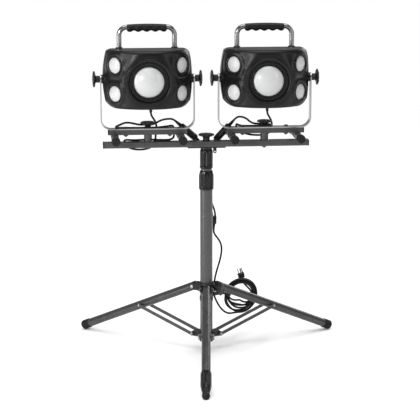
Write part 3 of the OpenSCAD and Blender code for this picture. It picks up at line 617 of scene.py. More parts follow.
def coil_line():
    """The coiled turns, from the lower end of the route round to the plug. Turns lie in a tight
    bundle at the tie; a few of them sag inwards at the lower left and one stands off at the top."""
    def on_circle(degrees):
        return np.array((math.cos(math.radians(degrees)), math.sin(math.radians(degrees))))

    slots = [*[on_circle(a) for a in (0, -60, -120, 180)], np.zeros(2), on_circle(120),
             on_circle(60)]
    points = []
    for i in range(COIL_STEPS):
        turned = 360.0 * i / STEPS_PER_TURN
        angle = COIL_START + turned
        k = int(turned // 360)
        late = min(k + 1, len(slots) - 1)
        ease = smoothstep((turned % 360) / 360, 0.65, 0.85)
        radial, side = (slots[k] + (slots[late] - slots[k]) * ease) * CORD_D * COIL_PACKING
        sag = SAGS[k] + (SAGS[late] - SAGS[k]) * ease
        low = max(0.0, math.cos(math.radians(angle - SAG_AT))) ** 1.6
        high = max(0.0, math.cos(math.radians(angle - LOOSE_AT))) ** 8
        lift = LOOSE_LIFT * high if k == LOOSE_TURN else 0.0
        wander = 0.0007 * math.sin(math.radians(angle * 0.83 + 70 * k))
        r = COIL_R + radial - sag * low + lift + wander
        across, up = r * on_circle(angle)
        points.append(coil_point(across * COIL_WIDER, side + low * 0.0015 * (k - 3), up))
    return points


def coil_point(across, behind, up):
    """A point of the coil's own plane, about its middle, in the row frame."""
    return COIL_AT + np.array((across * math.cos(COIL_AZ) - behind * math.sin(COIL_AZ),
                               across * math.sin(COIL_AZ) + behind * math.cos(COIL_AZ), up))


def make_power_cord():
    tail = [coil_point(*p) for p in COIL_TAIL]
    line = smooth_line([*reversed(POWER_ROUTE), *coil_line(), *tail, PLUG_AT])
    made = cord_piece("power_cord_run", line, ("power_cord", "power_cord_coil"))
    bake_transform(made)
    return made, line


def make_branch(side, route):
    """A branch in three lengths, each crossing one joint of the mast, with ties on the seams."""
    line = smooth_line(route)
    low, high = BRANCH_TIES
    cuts = [0, *[int(np.argmin(abs(line[:, 2] - z))) for z in BRANCH_TIES], len(line) - 1]
    spans = (("lower", "middle", "inner", 0.385, low - 0.005),
             ("mid", "inner", "crossbar", low + 0.005, high - 0.003),
             ("upper", "crossbar", side + "_stand", high + 0.003, 0.584))
    made = []
    for (part, a, b, z0, z1), first, last in zip(spans, cuts, cuts[1:]):
        run = line[first:last + 1]
        tube = cord_piece(f"{side}_branch_{part}", run,
                          ("branch_cords",) if (side, part) == ("left", "lower") else ())
        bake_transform(tube)
        made.append((tube, run))
    return made


def make_lamp_cords():
    """The left lamp's slack hangs over the crossbar; the right lamp's lies on its own stand."""
    left = smooth_line(shifted(LEFT_DROP + LEFT_LOOP + LEFT_TOP, -POST_X * MM))
    right = smooth_line(shifted(RIGHT_LAMP, POST_X * MM))
    down, low = [int(np.argmin(np.linalg.norm(left - np.array(seam), axis=1)))
                 for seam in LEFT_SEAMS]
    runs = [left[:down + 1], left[down:low + 1], left[low:], right]
    drop = cord_piece("left_cord_drop", runs[0], ("left_lamp_cord",))
    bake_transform(drop)
    loop = cord_piece("left_cord_sling", runs[1], ("left_cord_loop",))
    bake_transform(loop)
    climb = cord_piece("left_cord_climb", runs[2])
    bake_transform(climb)
    whole = cord_piece("right_cord_run", runs[3], ("right_lamp_cord",))
    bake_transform(whole)
    return list(zip((drop, loop, climb, whole), runs))


make_camera()
power_cord, power_line = make_power_cord()
left_branches = make_branch("left", LEFT_BRANCH)
right_branches = make_branch("right", RIGHT_BRANCH)
lamp_cords = make_lamp_cords()


# ---------------------------------------------------------------- knobs and collars
def knob_shape(disc_r, disc_h, stem_r, stem_h, lobes):
    """A lobed knob standing on z = 0: ribbed stem, then a head with rounded lobes."""
    top = stem_h + disc_h
    depth = disc_r * 0.2

    def wave(angle, r, z):
        if r <= stem_r + 0.3:
            return r - 0.55 * (0.5 - 0.5 * math.cos(14 * angle)) if 0.7 < z < stem_h - 1 else r
        valley = (0.5 - 0.5 * math.cos(lobes * angle)) ** 1.4
        return r - depth * valley * (r / disc_r) ** 2

    stem = [(stem_r, z) for z in np.linspace(1.2, stem_h - 1.4, 5)]
    under = [(stem_r + 2.0 + (disc_r - stem_r - 4.2) * t, stem_h + 0.1 + (disc_h - 6.4) * t ** 1.5)
             for t in (0.35, 0.7, 1)]
    profile = [(stem_r - 0.8, 0), (stem_r, 0.8), *stem, (stem_r + 0.8, stem_h - 0.8),
               (stem_r + 2.0, stem_h + 0.1), *under,
               *arc(disc_r - 2.0, top - 4.3, 2.0, -80, 0, 4),
               *arc(disc_r - 2.3, top - 3.3, 2.3, 0, 75, 5),
               (disc_r * 0.80, top - 0.45), (disc_r * 0.62, top + 0.2), (disc_r * 0.48, top + 0.6),
               (disc_r * 0.42, top + 0.7), (disc_r * 0.40, top + 0.1), (disc_r * 0.1, top + 0.1)]
    return lathe(profile, 120, wave)


def knob_cap(disc_r, height):
    r = disc_r * 0.38
    return lathe([(r, height - 0.6), (r, height + 0.5), (r - 0.5, height + 0.95),
                  (r * 0.5, height + 1.15), (r * 0.06, height + 1.2)], 48)


def stud_shape(length, r=4.0, pitch=1.25):
    """A threaded stud hanging down from z = 0."""
    profile = [(r - 0.8, -length), (r - 0.1, -length + 0.8)]
    z = -length + 0.8
    while z < -pitch:
        profile += [(r - 0.65, z + pitch * 0.5), (r, z + pitch)]
        z += pitch
    profile.append((r, 0.4))
    return lathe(profile, 24)


def knob(name, node, body, place, disc_r, disc_h, stem_r, stem_h, lobes, stud):
    piece(name + "_grip", knob_shape(disc_r, disc_h, stem_r, stem_h, lobes), KNOB, body, place,
          slot="knob_plastic", instead_of=(node,))
    piece(name + "_cap", knob_cap(disc_r, stem_h + disc_h), BEZEL, body, place, slot="knob_plastic")
    piece(name + "_stud", stud_shape(stud), ZINC, body, place)


def collar_shape(r, bore, length, ribs, cone, top_r, rim=5.5):
    """A fluted grip collar standing on z = 0: plain rim, straight grip, then a cone to top_r."""
    flat_top = length - cone

    def wave(angle, radius, z):
        if radius < top_r - 1.3 or z > length - 3 or z < rim + 1.8:
            return radius
        ends = min(1.0, (z - rim - 1.8) / 2.5, (length - 3 - z) / (cone * 0.8))
        return radius - 2.5 * ends * (0.5 - 0.5 * math.cos(ribs * angle)) ** 1.2

    body = [(r, z) for z in np.linspace(rim + 1.8, flat_top, 12)]
    body += [(r + (top_r - r) * t ** 1.3, flat_top + (cone - 1.5) * t)
             for t in (0.2, 0.4, 0.6, 0.8, 1)]
    outline = [(bore, 0.4), (bore + 0.5, 0), (r - 0.7, 0), (r, 0.7), (r, rim), (r - 0.9, rim + 0.5),
               (r - 0.9, rim + 1.1), (r, rim + 1.6), *body, (top_r - 0.5, length - 0.3),
               (top_r - 1.2, length), (bore + 0.5, length), (bore, length - 0.5)]
    return washer(outline, 14 * ribs, wave)


def make_collars():
    piece("lower_lock_grip", collar_shape(20.4, 15.55, LOCK_LEN, 10, 15, 17.4), BEZEL, "lower_lock",
          at(0, 0, LOWER_LOCK_Z), slot="knob_plastic", instead_of=("lower_lock_collar",))
    piece("upper_lock_grip", collar_shape(18.0, 12.8, LOCK_LEN, 9, 7, 16.4), BEZEL, "upper_lock",
          at(0, 0, UPPER_LOCK_Z), slot="knob_plastic", instead_of=("upper_lock_collar",))
    piece("front_leg_grip", collar_shape(14.4, 10.5, 62, 8, 14, 12.2, rim=4), BEZEL,
          "front_leg_lock", leg_place("front") @ at(341, 0, 0) @ X_UP, slot="knob_plastic",
          instead_of=("front_leg_lock",))


def make_knobs():
    hub = turn(HUB_KNOB_AZIMUTH, "Z") @ at(36.5, 0, HUB_Z) @ X_UP
    knob("hub_star_knob", "hub_knob", "hub_knob", hub, 19, 9, 9.5, 4, 6, 17.5)
    knob("centre_star_knob", "centre_knob", "centre_knob", at(0, 0, BAR_TOP + 0.3), 22, 9, 9.5,
         11.5, 8, 17.6)
    for side, s in (("left", -1), ("right", 1)):
        x = s * POST_X
        knob(side + "_clamp_star_knob", side + "_clamp_knob", side + "_clamp_knob",
             at(x, 0, STRAP_TOP + 0.3), 20.5, 8.5, 8.5, 9.5, 8, 30)
        for which, out in (("outer", s), ("inner", -s)):
            place = at(x + out * (ARM_X + 1.8), 0, TILT_Z) @ turn(90 * out, "Y")
            knob(f"{side}_{which}_star_knob", f"{side}_lamp_{which}_knob", f"{side}_{which}_knob",
                 place, 22, 8, 9.5, 12, 8, 15)


# ---------------------------------------------------------------- mast and tripod
def make_mast():
    paint(PAINT, "mast_tube", "middle_tube", "inner_tube")
    paint(KNOB, "mast_head", "brace_ring", bevel=0.8)
    screws = [at(x, 0, BAR_Z - 3.0) @ turn(180, "X") for x in (-40, 40)]
    piece("head_plate_screws", copies(screw_head(3.4, 2.0), screws), ZINC, "inner")
    foot = [(15.7, 0), (17.9, 0), (18.3, 0.6), (18.3, 3.2), (17.6, 4.0), (17.52, 6.0)]
    piece("mast_foot_plug", lathe(foot), RUBBER, "mast", at(0, 0, 26.5))
    band = [(17.55, -1.5), (20.3, -1.5), (20.9, -0.8), (20.9, 0.8), (20.3, 1.5), (17.55, 1.5)]
    bands = copies(washer(band), [at(0, 0, RING_Z + z) for z in (8.5, -14.5)])
    piece("ring_band", bands, KNOB, "mast")
    rivets = [turn(azimuth + 60, "Z") @ at(24, 0, RING_Z - 11) @ X_UP
              for azimuth in LEG_AZIMUTH.values()]
    piece("ring_screws", copies(rivet_head(3.6, 1.2), rivets), ZINC, "mast")


def make_hub():
    paint(KNOB, "leg_hub", bevel=0.9)
    lip = [(17.9, -1.3), (23.2, -1.3), (23.9, -0.6), (23.9, 0.6), (23.2, 1.3), (17.9, 1.3)]
    rib = [(17.9, 0), (22.2, 0), (21.0, 3.4), (19.6, 5.0), (17.9, 5.0)]
    lips = copies(washer(lip), [at(0, 0, HUB_Z + z) for z in (9.2, -9.2)])
    piece("hub_bands", joined(lips, moved(washer(rib), at(0, 0, HUB_Z + 10.4))), KNOB, "hub")
    pins = [turn(azimuth, "Z") @ at(PIVOT_R, side * 18.4, HUB_Z) @ turn(-90 * side, "X")
            for azimuth in LEG_AZIMUTH.values() for side in SIDES]
    piece("hub_pins", copies(rivet_head(5.3, 1.8), pins), ZINC, "hub")


def make_legs():
    nose = lathe([(11.9, 0), (12.35, 0.3), (12.35, 7), (11.2, 9.2), (8, 10.6), (0.6, 11)], 48)
    for which in LEG_AZIMUTH:
        paint(PAINT, which + "_leg_tube")
        paint(PAINT_FLAT, which + "_brace", bevel=0.5)
        rivets = [brace_place(which) @ at(x, side * 20.0, 0) @ turn(-90 * side, "X")
                  for x in (0, BRACE_LEN) for side in SIDES]
        piece(which + "_brace_rivets", copies(rivet_head(4.3, 1.9), rivets), ZINC, which + "_brace")
        piece(which + "_leg_nose", nose, KNOB, which + "_leg",
              leg_place(which) @ at(3, 0, 0) @ turn(-90, "Y"))


def leg_foot(profile, which):
    """A foot turned about its leg's own line and cut flat where it meets the ground."""
    points, faces = moved(lathe(profile, 72), leg_place(which) @ X_UP)
    return [(x, y, max(z, 0.0)) for x, y, z in points], faces


def make_feet():
    rubber = [(12.05, 394.5), (13.1, 394.5), (13.5, 395.2), (13.5, 399), (12.9, 399.6),
              (12.9, 400.6), (13.5, 401.2), (13.5, 404), (12.9, 404.6), (12.9, 405.6),
              (13.5, 406.2), *arc(7.6, 415.1, 5.9, 0, 90, 7), (5, 421), (0.5, 421)]
    for which in ("right", "left"):
        piece(which + "_rubber_foot", leg_foot(rubber, which), RUBBER, which + "_leg",
              slot="cap_rubber", instead_of=(which + "_foot",))
    tube = [(8.7, 215), (10.0, 215), (10.2, 215.4), (10.2, 411), (8.7, 411)]
    piece("front_extension_tube", washer(tube), PAINT, "front_extension",
          leg_place("front") @ X_UP, slot="dark_paint")
    ball = [(8.6, 404), (10.5, 404), (10.7, 405), (10.7, 409), (10.0, 411), (9.2, 413.2),
            (8.9, 415.6), (9.0, 418.2), *arc(0, FRONT_LEG, BALL_R, -28, 80, 18),
            (0.4, FRONT_LEG + BALL_R)]
    piece("front_ball_foot", leg_foot(ball, "front"), RUBBER, "front_extension",
          slot="cap_rubber", instead_of=("front_foot",))


# ---------------------------------------------------------------- crossbar and stands
def make_crossbar():
    paint(PAINT_FLAT, "crossbar", bevel=1.1)
    caps = []
    for s in SIDES:
        for size, x, r in (((3.2, BAR_DEPTH + 0.9, 15.9), BAR_HALF + 1.5, 1.2),
                           ((12, BAR_DEPTH - 3.4, 11.6), BAR_HALF - 5.9, 1.0)):
            caps.append(rounded_box(size, (s * x, 0, BAR_Z + 7.5), r))
    piece("crossbar_caps", joined(*caps), RUBBER, "crossbar", slot="cap_rubber",
          instead_of=("crossbar_end_caps",))
    posts = [at(s * POST_X, 0, 0) for s in SIDES]
    nut = joined(moved(hex_nut(6.4, 3.6), at(z=BAR_Z - 3.7)),
                 moved(lathe([(8.4, 0), (8.6, 0.2), (8.6, 1.0), (8.2, 1.2)], 40),
                       at(z=BAR_Z - 1.2)),
                 moved(lathe([(3, 0), (3.6, 0.5), (3.6, 2.6)], 28), at(z=BAR_Z - 6.0)))
    piece("post_nuts", copies(nut, posts), PAINT_FLAT, "crossbar")
    weld = washer([(11.02, 0), (12.8, 0), (12.5, 0.9), (11.6, 1.7), (11.02, 2.6)])
    piece("post_welds", copies(moved(weld, at(z=BAR_TOP)), posts), PAINT_FLAT, "crossbar")


def make_stand(side, s):
    body, here = side + "_stand", at(s * POST_X, 0, 0)

    def skid(sx, y, sy):
        """The place of a ring or cap on a skid, facing along Y."""
        return at(sx * SKID_X, y, SKID_Z) @ turn(-90 * sy, "X")

    paint(PAINT_FLAT, side + "_stand_frame", bevel=0.9)
    paint(STRAP, side + "_u_bracket", bevel=0.5)
    cap = [(9.55, 71.6), (11.3, 71.6), (12.0, 72.4), (12.0, 75.0), (11.4, 75.5), (11.4, 76.3),
           (12.0, 76.8), *arc(8.2, 86.2, 3.8, 0, 88, 6), (4, 90), (0.5, 90)]
    caps = copies(lathe(cap, 56), [skid(sx, 0, sy) for sx in SIDES for sy in SIDES])
    plugs = [rounded_box((3.0, 25.2, 13.9), (sx * 107.5, 0, BEAM_Z + 7), 1.0) for sx in SIDES]
    piece(side + "_stand_caps", joined(caps, *plugs), RUBBER, body, here, slot="cap_rubber",
          instead_of=(side + "_stand_feet",))
    bolt = joined(
        moved(lathe([(7.4, 0), (7.6, 0.15), (7.6, 0.9), (7.2, 1.1)], 40), at(z=STRAP_TOP)),
        moved(lathe([(5.4, 0.9), (5.4, 2.9), (4.6, 3.7), (2.6, 3.9), (2.4, 3.0), (0.4, 3.0)], 36),
              at(z=STRAP_TOP)),
        moved(hex_nut(6.2, 4.2), at(z=BEAM_Z - 4.2)),
        moved(lathe([(2.2, 0), (2.9, 0.6), (2.9, 3)], 24), at(z=BEAM_Z - 6.4)))
    piece(side + "_strap_bolts", copies(bolt, [at(sx * 60) for sx in SIDES]), PAINT, body, here)
    weld = washer([(9.52, -1.2), (10.7, -1.0), (10.2, 0.6), (9.52, 1.6)], 56)
    welds = [skid(sx, sy * 13.4, sy) for sx in SIDES for sy in SIDES]
    piece(side + "_stand_welds", copies(weld, welds), PAINT_FLAT, body, here)
    band = washer([(9.55, -1.6), (10.4, -1.6), (10.6, -1.3), (10.6, 1.3), (10.4, 1.6),
                   (9.55, 1.6)], 56)
    piece(side + "_skid_bands", copies(band, [skid(sx, -60, -1) for sx in SIDES]), ZINC, body, here)
    eye = lathe([(10.4, 0), (10.6, 0.2), (10.6, 0.9), (10.2, 1.1)], 48)
    eyes = [at(sx * (ARM_X - 1.5), 0, TILT_Z) @ turn(-90 * sx, "Y") @ at(0, 0, -1.0)
            for sx in SIDES]
    piece(side + "_eye_washers", copies(eye, eyes), RUBBER, body, here)


def ridged(r0, r1, z0, z1, ridges):
    """Profile points of a tapering, ridged strain relief."""
    points = []
    for i in range(ridges):
        for part, dip in ((0, 0.0), (0.62, 0.0), (0.72, 0.55), (0.96, 0.55)):
            share = (i + part) / ridges
            points.append((r0 + (r1 - r0) * share - dip, z0 + (z1 - z0) * share))
    return [*points, (r1, z1)]


# Thin end of the plug, about its lamp's post, and the slant of its axis
CONNECTOR_START = {"left": (77, 649.5, 131), "right": (80.5, 650, 137)}


def make_connector(side, s):
    x, z, turned = CONNECTOR_START[side]
    place = at(s * POST_X, 0, 0) @ (mirror_x() if s > 0 else Matrix()) @ at(x, 26, z) \
        @ turn(turned, "Y")

    def ribs(angle, r, z):
        return r - 0.45 * (0.5 - 0.5 * math.cos(18 * angle)) if r > 8.2 and 23 < z < 34 else r

    def flats(angle, r, z):
        if r > 9.0 and 44 < z < 70:
            return r - 0.8 * (0.5 - 0.5 * math.cos(8 * angle)) ** 2
        return r

    plug = lathe([*ridged(3.15, 5.3, 0, 18, 5), (5.6, 19.0), (7.9, 20.4), (9.0, 22), (9.2, 23.2),
                  (9.2, 25), (9.2, 28), (9.2, 31), (9.2, 33.6), (9.4, 34.4), (9.4, 37.2),
                  (8.6, 38)], 72, ribs)
    piece(side + "_inline_plug", plug, MOULD, side + "_stand", place, slot="plug_pvc",
          instead_of=(side + "_connector",))
    socket = lathe([(8.4, 38.05), (9.7, 38.4), (10.0, 39.2), (10.0, 42.4), (9.5, 43.2),
                    *[(9.9, z) for z in np.linspace(44.2, 69.6, 9)], (9.9, 71), (9.4, 73),
                    (7.4, 75.4), (5.9, 76.6), *ridged(5.4, 3.15, 77.4, 90, 4)], 72, flats)
    piece(side + "_inline_socket", socket, MOULD, side + "_stand", place, slot="plug_pvc")
    seal = washer([(8.9, 37.3), (9.9, 37.4), (10.05, 38.0), (9.9, 38.6), (8.9, 38.7)], 64)
    piece(side + "_plug_seal", seal, RUBBER, side + "_stand", place)


# ---------------------------------------------------------------- lamp head
def in_outline(x, z, inset=0.0):
    """Whether a point lies inside the head's front outline, drawn inset."""
    w, top, low = HEAD_W - inset, HEAD_TOP - inset, HEAD_LOW + inset
    r = max((HEAD_CORNER_R if z > MID_Z else HEAD_LOW_CORNER_R) - inset, 1.0)
    if abs(x) > w or z > top or z < low:
        return False
    dx, dz = abs(x) - (w - r), max(z - (top - r), low + r - z)
    if dx > 0 and dz > 0 and math.hypot(dx, dz) > r:
        return False
    return math.hypot(abs(x) + HEAD_SIDE_R - w, z - MID_Z) <= HEAD_SIDE_R


def outline(inset=0.0, clip=200.0, steps=240):
    """The outline as points at even angles about the head's middle."""
    points = []
    for k in range(steps):
        angle = TAU * (k + 0.5) / steps
        dx, dz = math.cos(angle), math.sin(angle)
        low, high = 0.0, 200.0
        for _ in range(24):
            mid = (low + high) / 2
            x, z = mid * dx, MID_Z + mid * dz
            if in_outline(x, z, inset) and abs(x) <= clip:
                low = mid
            else:
                high = mid
        points.append((low * dx, MID_Z + low * dz))
    return points


def edge_distance(x, z, most):
    """How far inside the outline a point lies, up to most."""
    low, high = 0.0, most
    if in_outline(x, z, most):
        return most
    for _ in range(12):
        mid = (low + high) / 2
        if in_outline(x, z, mid):
            low = mid
        else:
            high = mid
    return low


FACE_CLIP = 115.8
FACE_EDGE_R = 9.0
FACE_PITCH = 3.1
HOLE_DEPTH = 5.0
LENS_X = FACE_R * math.sin(math.radians(CORNER_TURN))
LENS_HOLE = CORNER_R + 6.1
CORNERS = [(sx, sz) for sx in SIDES for sz in (-1, 1)]


def face_point(x, z):
    """The moulded face over (x, z): an upright cylinder that swells round the lenses and rolls
    over at its edge."""
    y = FACE_CENTRE_Y - math.sqrt(FACE_R ** 2 - x * x)
    swell = 1 - smoothstep(math.hypot(x, z), BEZEL_R + 1.5, BEZEL_R + 30)
    y += (FACE_Y - 1.0 - y) * 0.5 * swell
    inner = edge_distance(x, z, FACE_EDGE_R)
    lean = math.radians(CORNER_TURN)
    px = x
    for sx, sz in CORNERS:
        across = (x - sx * LENS_X) / math.cos(lean)
        away = math.hypot(across, z - MID_Z - sz * CORNER_DZ)
        if away < LENS_HOLE + 16:
            lip = 1 - smoothstep(away, LENS_HOLE + 2.5, LENS_HOLE + 15)
            dip = math.exp(-((away - LENS_HOLE - 13) / 4.5) ** 2)
            rise = (3.4 * lip - 0.7 * dip) * smoothstep(inner, 0, 7)
            y -= rise * math.cos(lean)
            px += rise * math.sin(lean) * sx * 0.6
    y += FACE_EDGE_R - math.sqrt(FACE_EDGE_R ** 2 - (FACE_EDGE_R - inner) ** 2)
    return px, y, z


def face_shape():
    """Front shell: the sculpted face with its five holes, rolled back to the split line."""
    lean = math.cos(math.radians(CORNER_TURN))

    def hole_rings(extra):
        """Outlines of the holes drawn larger by extra, the middle one first."""
        return [circle(BEZEL_R + extra, 120),
                *[circle(LENS_HOLE + extra, 80, sx * LENS_X, MID_Z + sz * CORNER_DZ, lean)
                  for sx, sz in CORNERS]]

    def hole_distance(x, z):
        best = math.hypot(x, z) - BEZEL_R
        for sx, sz in CORNERS:
            best = min(best, math.hypot((x - sx * LENS_X) / lean, z - MID_Z - sz * CORNER_DZ)
                       - LENS_HOLE)
        return best

    rim = outline(0.0, FACE_CLIP)
    holes = hole_rings(0)
    flat, edges = [], []
    for loop in (rim, *holes):
        first = len(flat)
        flat += loop
        edges += [(first + k, first + (k + 1) % len(loop)) for k in range(len(loop))]
    for inset in (0.8, 2.0, 3.6, 5.6, 8.0):
        flat += outline(inset, FACE_CLIP - inset * 0.4, 200)
    for extra in (1.3, 3.0, 5.2):
        middle, *corners = hole_rings(extra)
        flat += middle
        flat += [p for ring in corners for p in ring if in_outline(*p, 8.5)]

    row = 0
    z = HEAD_LOW
    while z < HEAD_TOP:
        x = -FACE_CLIP + (FACE_PITCH / 2 if row % 2 else 0)
        while x < FACE_CLIP:
            if in_outline(x, z, 9.5) and abs(x) < FACE_CLIP - 3 and hole_distance(x, z) > 6.4:
                flat.append((x, z))
            x += FACE_PITCH
        z += FACE_PITCH * 0.866
        row += 1
    verts, _, faces, *_ = delaunay_2d_cdt([Vector(p) for p in flat], edges, [], 0, 1e-4)
    kept = []
    for face in faces:
        cx = sum(verts[i].x for i in face) / 3
        cz = sum(verts[i].y for i in face) / 3
        if hole_distance(cx, cz) > -0.02 and in_outline(cx, cz) and abs(cx) < FACE_CLIP:
            kept.append(list(face))
    rim_points = [face_point(*p) for p in rim]
    inner = outline(3.0, FACE_CLIP - 3)
    wall = [rim_points,
            [(x, max(y, SPLIT_Y - 0.6), z) for x, y, z in rim_points],
            [(x * 0.997, SPLIT_Y - 0.1, z * 0.996) for x, _, z in rim_points],
            [(x, SPLIT_Y - 0.1, z) for x, z in inner],
            [(x, SPLIT_Y - 5, z) for x, z in inner]]
    shapes = [([face_point(v.x, v.y) for v in verts], kept), rings_shape(wall, "open")]
    for hole in holes:
        top = [face_point(*p) for p in hole]
        shapes.append(rings_shape([top, [(x, y + HOLE_DEPTH, z) for x, y, z in top]], "open"))
    return joined(*shapes)


def housing_shape():
    """Rear housing: full outline behind the split, rolled in to a smaller flat back."""
    def arc_clip(y):
        return math.sqrt(max(FACE_R ** 2 - (y - FACE_CENTRE_Y) ** 2, 1.0))
    rings = [[(x, SPLIT_Y + 6, z) for x, z in outline(3.0, 113)],
             [(x, SPLIT_Y + 0.1, z) for x, z in outline(3.0, 113)],
             [(x, SPLIT_Y + 0.1, z) for x, z in outline(0.9, arc_clip(SPLIT_Y) - 0.9)],
             [(x, SPLIT_Y + 0.9, z) for x, z in outline(0.0, arc_clip(SPLIT_Y + 0.9))]]
    for y in (-11, -8, -4, -0.4, 6, 12):
        rings.append([(x, y, z) for x, z in outline(0.0, arc_clip(y) if y < 0 else 200)])
    for i in range(1, 7):
        t = math.pi / 2 * i / 6
        rings.append([(x, RIM_Y - RIM_ROLL * (1 - math.sin(t)), z)
                      for x, z in outline(RIM_ROLL * (1 - math.cos(t)))])
    for inset, y in ((11.5, RIM_Y), (13.2, RIM_Y + 0.7), (14.0, RIM_Y + 2.6), (14.2, 30),
                     (14.4, 36), (BACK_INSET, BACK_Y - BACK_ROLL)):
        rings.append([(x, y, z) for x, z in outline(inset)])
    for i in range(1, 6):
        t = math.pi / 2 * i / 5
        rings.append([(x, BACK_Y - BACK_ROLL * (1 - math.sin(t)), z)
                      for x, z in outline(BACK_INSET + BACK_ROLL * (1 - math.cos(t)))])
    rings.append([(x, BACK_Y, z) for x, z in outline(30)])
    return rings_shape(rings)


def ball_cap(r, ball, top, steps):
    """Profile points of a cap of a ball, from its rim at r up to its middle at height top."""
    radii = [r * (1 - i / steps) for i in range(steps + 1)]
    return [(max(radius, 0.3), top - ball + math.sqrt(ball ** 2 - radius * radius))
            for radius in radii]


def make_head(side, s):
    """All pieces of one lamp head, on its own body."""
    here = at(s * POST_X, 0, TILT_Z)
    forward = here @ MINUS_Y_UP

    def part(name, shape, material, place=here, slot="lamp_plastic", **more):
        piece(f"{side}_{name}", shape, material, side + "_head", place, slot, **more)

    part("face_shell", face_shape(), SHELL, sharp=math.radians(55),
         instead_of=(side + "_front_shell",))
    part("back_shell", housing_shape(), SHELL, sharp=math.radians(50),
         instead_of=(side + "_rear_housing",))

    fins = [rounded_box((2.8, 9.6, 87), (i * 16, BACK_Y + 3.1, 11.5), 1.1) for i in range(-5, 6)]
    fins += [rounded_box((166, 2.4, 3.0), (0, BACK_Y + 0.6, z), 0.9) for z in (-31, 54)]
    part("cooling_fins", joined(*fins), SHELL)

    # Main bezel: rim, sloping throat, ribbed step
    front = -FACE_Y + 4
    rim = [(BEZEL_R - 4, 58), (BEZEL_R, 58), (BEZEL_R, 80), (BEZEL_R, front - 2),
           *arc(BEZEL_R - 2, front - 2, 2, 20, 90, 4), (58.5, front), (57.4, front - 0.5),
           (56.6, front - 1.6), (54.8, front - 1.9), (53.2, front - 4.6), (52.0, front - 6.2),
           (50.8, front - 6.2), (44.2, front - 6.6), (44.0, front - 5.6), (43.2, front - 5.0),
           (42.0, front - 5.0), (41.2, front - 6.0), (41.0, front - 13), (36, front - 14),
           (36, 64), (58, 62)]
    part("main_bezel", washer(rim, 128), BEZEL, forward, instead_of=(side + "_lens_bezels",))
    tooth = rounded_box((6.4, 2.6, 4.4), (47.6, 0, front - 5.0), 0.8, 2)
    teeth = copies(tooth, [turn(360 * k / BEZEL_TEETH, "Z") for k in range(BEZEL_TEETH)])
    part("bezel_ribs", teeth, BEZEL, forward)

    # Domed centre lens
    base, ball = -FACE_Y - 3, (DOME_R ** 2 + DOME_RISE ** 2) / (2 * DOME_RISE)
    dome = [(39.0, base - 5), (40.4, base - 5), (40.4, base - 0.6),
            *ball_cap(DOME_R, ball, base + DOME_RISE, 14)]
    part("dome_lens", lathe(dome, 96), DOME, forward, "frosted_lens",
         instead_of=(side + "_lenses",))

    # Corner lenses and their stepped bezels
    corner_rim = [(22.0, -8), (26.5, -8), (26.5, 1.6), *arc(25.3, 2.3, 1.2, 10, 90, 3),
                  (24.4, 3.5), (24.0, 2.9), (23.6, 2.9), (23.2, 3.4), (22.2, 3.2), (21.2, 1.6),
                  (20.8, 0.2), (20.7, -3), (20.7, -8)]
    lens = [(20.0, -3), (20.6, -2.6), (20.6, -0.2), *ball_cap(20.4, 48, 4.4, 8)]
    corners = [at(0, FACE_CENTRE_Y, MID_Z + sz * CORNER_DZ) @ turn(sx * CORNER_TURN, "Z")
               @ at(0, -FACE_R, 0) @ MINUS_Y_UP for sx, sz in CORNERS]
    part("corner_bezels", copies(washer(corner_rim, 80), corners), BEZEL)
    part("corner_lenses", copies(lathe(lens), corners), PEBBLED, slot="frosted_lens")
    paint(BOARD, side + "_led_electronics")

    make_head_back(side, here, part)
    make_handle(side, part)


